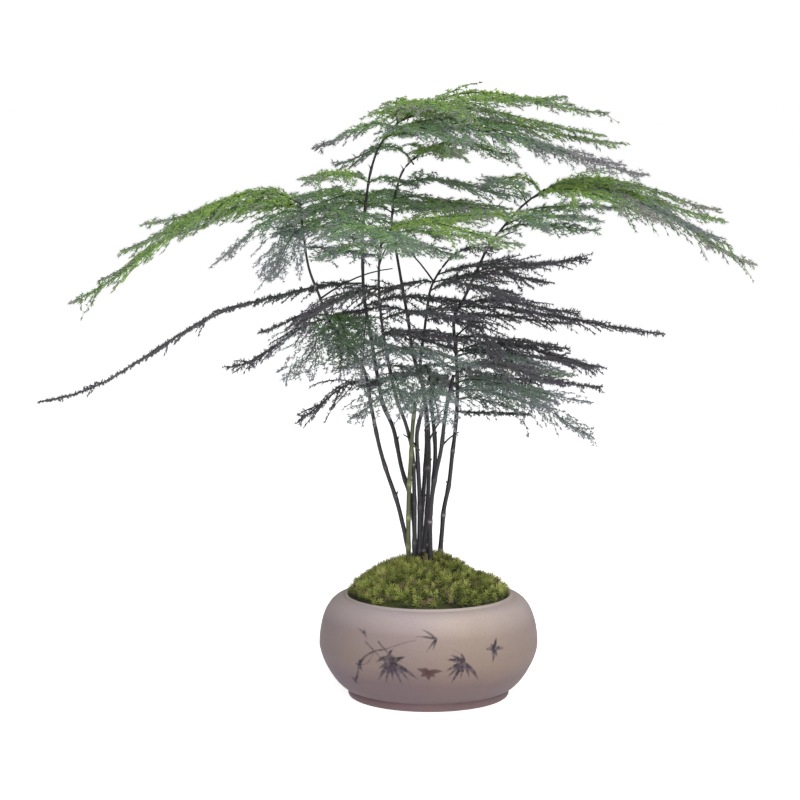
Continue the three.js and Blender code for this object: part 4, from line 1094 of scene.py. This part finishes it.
# %% Table of the side sprays
SIDE_SPRAYS = [
    ("top_1", "b", 341, (116, 18, -10), 9, 42, 8, "bright"),
    ("upper_1", "b", 331, (138, -20, -16), 10, 40, 14, "pale"),
    ("left_1", "a", 291, (-92, 16, -11), 7, 38, -6, "bright"),
    ("left_2", "a", 290, (-72, -8, -16), 8, 32, -6, "bright"),
    ("left_3", "a", 292, (-116, -4, -45), 18, 28, -8, "bright"),
    ("crown_1", "f", 284, (-66, -6, -4), 7, 46, -6, "green"),
    ("crown_2", "a", 284, (64, -14, -6), 6, 46, 8, "green"),
    ("crown_3", "f", 287, (62, -20, 2), 3, 44, 6, "bright"),
    ("crown_4", "c", 274, (-60, 12, 0), 6, 48, -6, "green"),
    ("crown_5", "f", 284, (64, -26, 3), 3, 44, 6, "green"),
    ("crown_6", "j", 284, (-50, -6, -3), 3, 38, -4, "bright"),
    ("crown_7", "c", 268, (46, -20, -3), 4, 36, 6, "green"),
    ("crown_8", "a", 266, (42, -26, -3), 1, 42, 0, "pale"),
    ("crown_9", "a", 276, (-15, -27, -21), 4, 34, -4, "pale"),
    ("crown_10", "b", 290, (48, -10, -2), 2, 40, 4, "green"),
    ("crown_11", "b", 304, (26, 10, -2), 3, 28, 0, "green"),
    ("crown_12", "f", 292, (44, -6, -3), 2, 34, 0, "green"),
    ("crown_15", "c", 268, (-36, -26, -4), 4, 40, -4, "green"),
    ("crown_16", "b", 280, (-50, -14, -3), 4, 40, -4, "green"),
    ("crown_13", "f", 271, (44, -12, -1), 2, 34, 4, "green"),
    ("crown_14", "a", 277, (30, -18, -4), 3, 38, 0, "green"),
    ("right_1", "j", 299, (58, -16, 4), 4, 40, 8, "bright"),
    ("right_2", "j", 300, (104, 12, -13), 10, 44, 10, "bright"),
    ("right_3", "j", 299, (-32, 14, 6), 6, 30, 0, "bright"),
    ("right_4", "j", 275, (54, -26, 2), 4, 36, 8, "green"),
    ("right_5", "j", 286, (60, -14, 5), 3, 34, 6, "green"),
    ("right_6", "j", 298, (104, -24, -26), 11, 44, 8, "pale"),
    ("right_7", "j", 300, (108, -4, -33), 14, 28, 8, "bright"),
    ("middle_2", "g", 250, (64, 8, 6), 3, 40, 8, "dark"),
    ("middle_3", "j", 232, (68, -16, -4), 4, 38, 8, "dark"),
    ("middle_4", "b", 232, (60, -20, 4), 4, 40, 8, "dark"),
    ("middle_6", "c", 226, (52, -18, 3), 4, 40, 8, "dark"),
    ("middle_7", "j", 226, (66, -8, -4), 2, 32, 8, "dark"),
    ("middle_8", "j", 248, (42, -14, -2), 3, 34, 6, "dark"),
    ("middle_9", "g", 246, (-30, -6, -6), 2, 28, 0, "dark"),
    ("middle_10", "f", 226, (-42, -12, -2), 3, 40, 0, "dark"),
    ("middle_11", "c", 219, (46, -8, -4), 2, 36, 0, "dark"),
    ("middle_12", "f", 214, (46, -14, -6), 2, 34, 4, "pale"),
    ("middle_13", "j", 213, (66, -4, -6), 2, 32, 6, "dark"),
    ("middle_15", "j", 241, (26, -8, -2), 2, 28, 4, "dark"),
    ("middle_16", "g", 222, (30, -10, -3), 2, 28, 0, "dark"),
    ("lower_1", "j", 205, (80, -8, -8), 2, 42, 12, "dark"),
    ("lower_2", "c", 206, (50, -28, -4), 6, 44, 6, "pale"),
    ("lower_4", "i", 188, (58, -20, -8), 5, 40, 10, "pale"),
    ("lower_5", "b", 210, (48, -16, -3), 5, 40, 4, "dark"),
    ("lower_6", "f", 200, (-44, -10, -8), 5, 40, -4, "pale"),
    ("lower_7", "a", 208, (50, -18, -4), 5, 42, 4, "pale"),
    ("lower_8", "j", 168.5, (42, -4, -1), 0, 10, 4, "rope"),
    ("lower_22", "j", 177, (34, -12, -5), 2, 28, 4, "pale"),
    ("lower_9", "g", 194, (36, -14, -2), 3, 34, 4, "pale"),
    ("lower_10", "g", 190, (-36, -14, -4), 3, 34, -4, "dark"),
    ("lower_11", "j", 180, (48, -14, -8), 2, 32, 8, "pale"),
    ("lower_12", "j", 197, (68, -8, -6), 2, 36, 8, "green"),
    ("lower_13", "a", 224, (12, -36, -12), 7, 48, 0, "shade"),
    ("lower_14", "b", 196, (34, -16, -4), 2, 34, 4, "pale"),
    ("lower_15", "f", 188, (-30, -12, -6), 2, 30, -4, "pale"),
    ("lower_16", "a", 214, (0, -34, -12), 6, 44, -4, "shade"),
    ("lower_17", "b", 222, (-18, -36, -14), 7, 48, 0, "shade"),
    ("lower_18", "j", 201, (60, -26, -6), 4, 44, 10, "pale"),
    ("lower_21", "j", 187, (84, -10, -2), 3, 32, 8, "dark"),
    ("lower_19", "c", 191, (8, -34, -12), 6, 46, 0, "pale"),
    ("lower_20", "g", 196, (6, -38, -14), 6, 48, 0, "pale"),
    ("tip", "g", 260, (26, -8, 6), 3, 26, 4, "dark"),
    ("crown_17", "b", 297, (-50, -38, -14), 4, 42, -6, "green"),
]
print("Side sprays:", len(SIDE_SPRAYS))

# %% [markdown]
# A few fronds have habits of their own: some turn grey towards the tip, some rise and sag along their
# way, and the long ones on the right drop a row of sprigs. These are kept in small tables beside the
# large ones. Then all the fronds are grown. The root of each lies on the skin of its stem, and a slight
# sway keeps them from being straight.

# %% Fronds
SWAY, SWAY_TURN, ROOT_OUT = 0.03, 2.4, 0.4
# How much greyer these fronds become towards their tips. All others fade by the usual amount.
USUAL_FADING = 0.12
FADING = {"upper_right_low": 0.6, "side_upper_1": 0.6, "upper_left": 0.45, "third_left": 0.3,
          "right_front": 0.4, "left_front": 0.4, "right_long": 0.35, "side_right_2": 0.3}
# Fronds that rise and sag by a few millimetres along their way: shares of the length, and heights there.
STRAIGHT = ([0], [0])
CURLING = {"lower_left_long": ([0, 0.25, 0.45, 0.62, 0.7, 0.8, 0.9, 1], [0, 0, 3.5, 0.5, -2, -4.5, -3, 1]),
           "lower_left": ([0, 0.4, 0.75, 1], [0, -5, -6, -1]), "bottom_left": ([0, 0.5, 1], [0, -4, -7]),
           "left_back": ([0, 0.2, 0.35, 0.5, 0.7, 1], [0, -3, -1, 2, 2, 0]),
           "left_long": ([0, 0.45, 0.75, 1], [0, -0.5, -2.5, -2])}
# Number of hanging sprigs and the length of the longest, where they differ from those of the frond's kind.
HANGING = {"right_long": (18, 9), "side_right_7": (12, 8)}
totals = dict.fromkeys(KINDS, 0)
all_fronds = FRONDS + [("side_" + name, *rest) for name, *rest in SIDE_SPRAYS]
for number, (name, stem, root_height, reach, arch, width, bank, kind) in enumerate(all_fronds):
    line, radii = stem_lines[stem]
    where = min(np.searchsorted(line[:, 2], root_height), len(line) - 1)
    out = unit(np.array([reach[0], reach[1], 0.0]))
    root = line[where] + out * (radii[where] + ROOT_OUT)
    sway = SWAY * width * math.sin(SWAY_TURN * number)
    fade, curl = FADING.get(name, USUAL_FADING), CURLING.get(name, STRAIGHT)
    sheet = Sheet(root, reach, arch, width, bank, sway, fade, curl)
    parts = Parts()
    spray(sheet, kind, parts, *HANGING.get(name, ()))
    frond = piece("spray_" + name, parts, [frond_materials[kind], twig_wood])
    if number < len(FRONDS):
        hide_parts("frond_" + name)
    totals[kind] += len(frond.data.polygons)
print("Triangles in the fronds:", sum(totals.values()), totals)

# %% [markdown]
# The plant stands on a white light table, a sheet that glows a little from below, the way small products
# are photographed. The glow keeps the table as white as the wall behind it, with no horizon between them.

# %% Floor
FLOOR_REACH = 20
paper, tree, surface = new_material("paper", 0.9)
whites = ramp(tree, noise(tree, 2, 1.0), {0.3: (240, 240, 241), 0.7: (246, 246, 246)})
plug(tree, surface.inputs["Base Color"], whites)
surface.inputs["Emission Color"].default_value = (1, 1, 1, 1)
surface.inputs["Emission Strength"].default_value = 0.82
floor_mesh = bpy.data.meshes.new("floor")
floor_corners = [(x * FLOOR_REACH, y * FLOOR_REACH, 0) for x, y in ((-1, -1), (1, -1), (1, 1), (-1, 1))]
floor_mesh.from_pydata(floor_corners, [], [(0, 1, 2, 3)])
floor_mesh.materials.append(paper)
floor = bpy.data.objects.new("floor", floor_mesh)
bpy.context.scene.collection.objects.link(floor)
print("Width of the floor in metres:", round(floor.dimensions.x, 1))

# %% [markdown]
# Two large soft lamps light the plant, one from above and one from the front at the right. The front one
# is a little warm. The wall behind the plant is the brightest part of the room and the rest of it is
# grey, which darkens the sides of the bowl and makes it look round.

# %% Lamps and room
def lamp(name, place, target, size, power, tint):
    """A square soft lamp at a place, turned towards its target."""
    light = bpy.data.lights.new(name, "AREA")
    light.shape, light.size, light.energy, light.color = "SQUARE", size, power, tint
    made = bpy.data.objects.new(name, light)
    made.location = place
    made.rotation_euler = (Vector(target) - Vector(place)).to_track_quat("-Z", "Y").to_euler()
    bpy.context.scene.collection.objects.link(made)


lamp("top_lamp", (0.25, -0.6, 1.6), target=(0, 0, 0.2), size=1.1, power=22, tint=(1, 1, 1))
lamp("front_lamp", (0.42, -2.0, 0.8), target=(0, 0, 0.15), size=1.0, power=27, tint=(1, 0.96, 0.91))
world = bpy.data.worlds.new("world")
bpy.context.scene.world = world
world.use_nodes = True
tree = world.node_tree
directions = tree.nodes.new("ShaderNodeTexCoord").outputs["Generated"]
backwards = node(tree, "ShaderNodeSeparateXYZ", Vector=directions).outputs["Y"]
room = ramp(tree, backwards, {0.75: (104, 104, 107), 0.96: (1.1, 1.1, 1.1, 1)})
plug(tree, tree.nodes["Background"].inputs["Color"], room)
bpy.context.scene.view_settings.view_transform = "Standard"
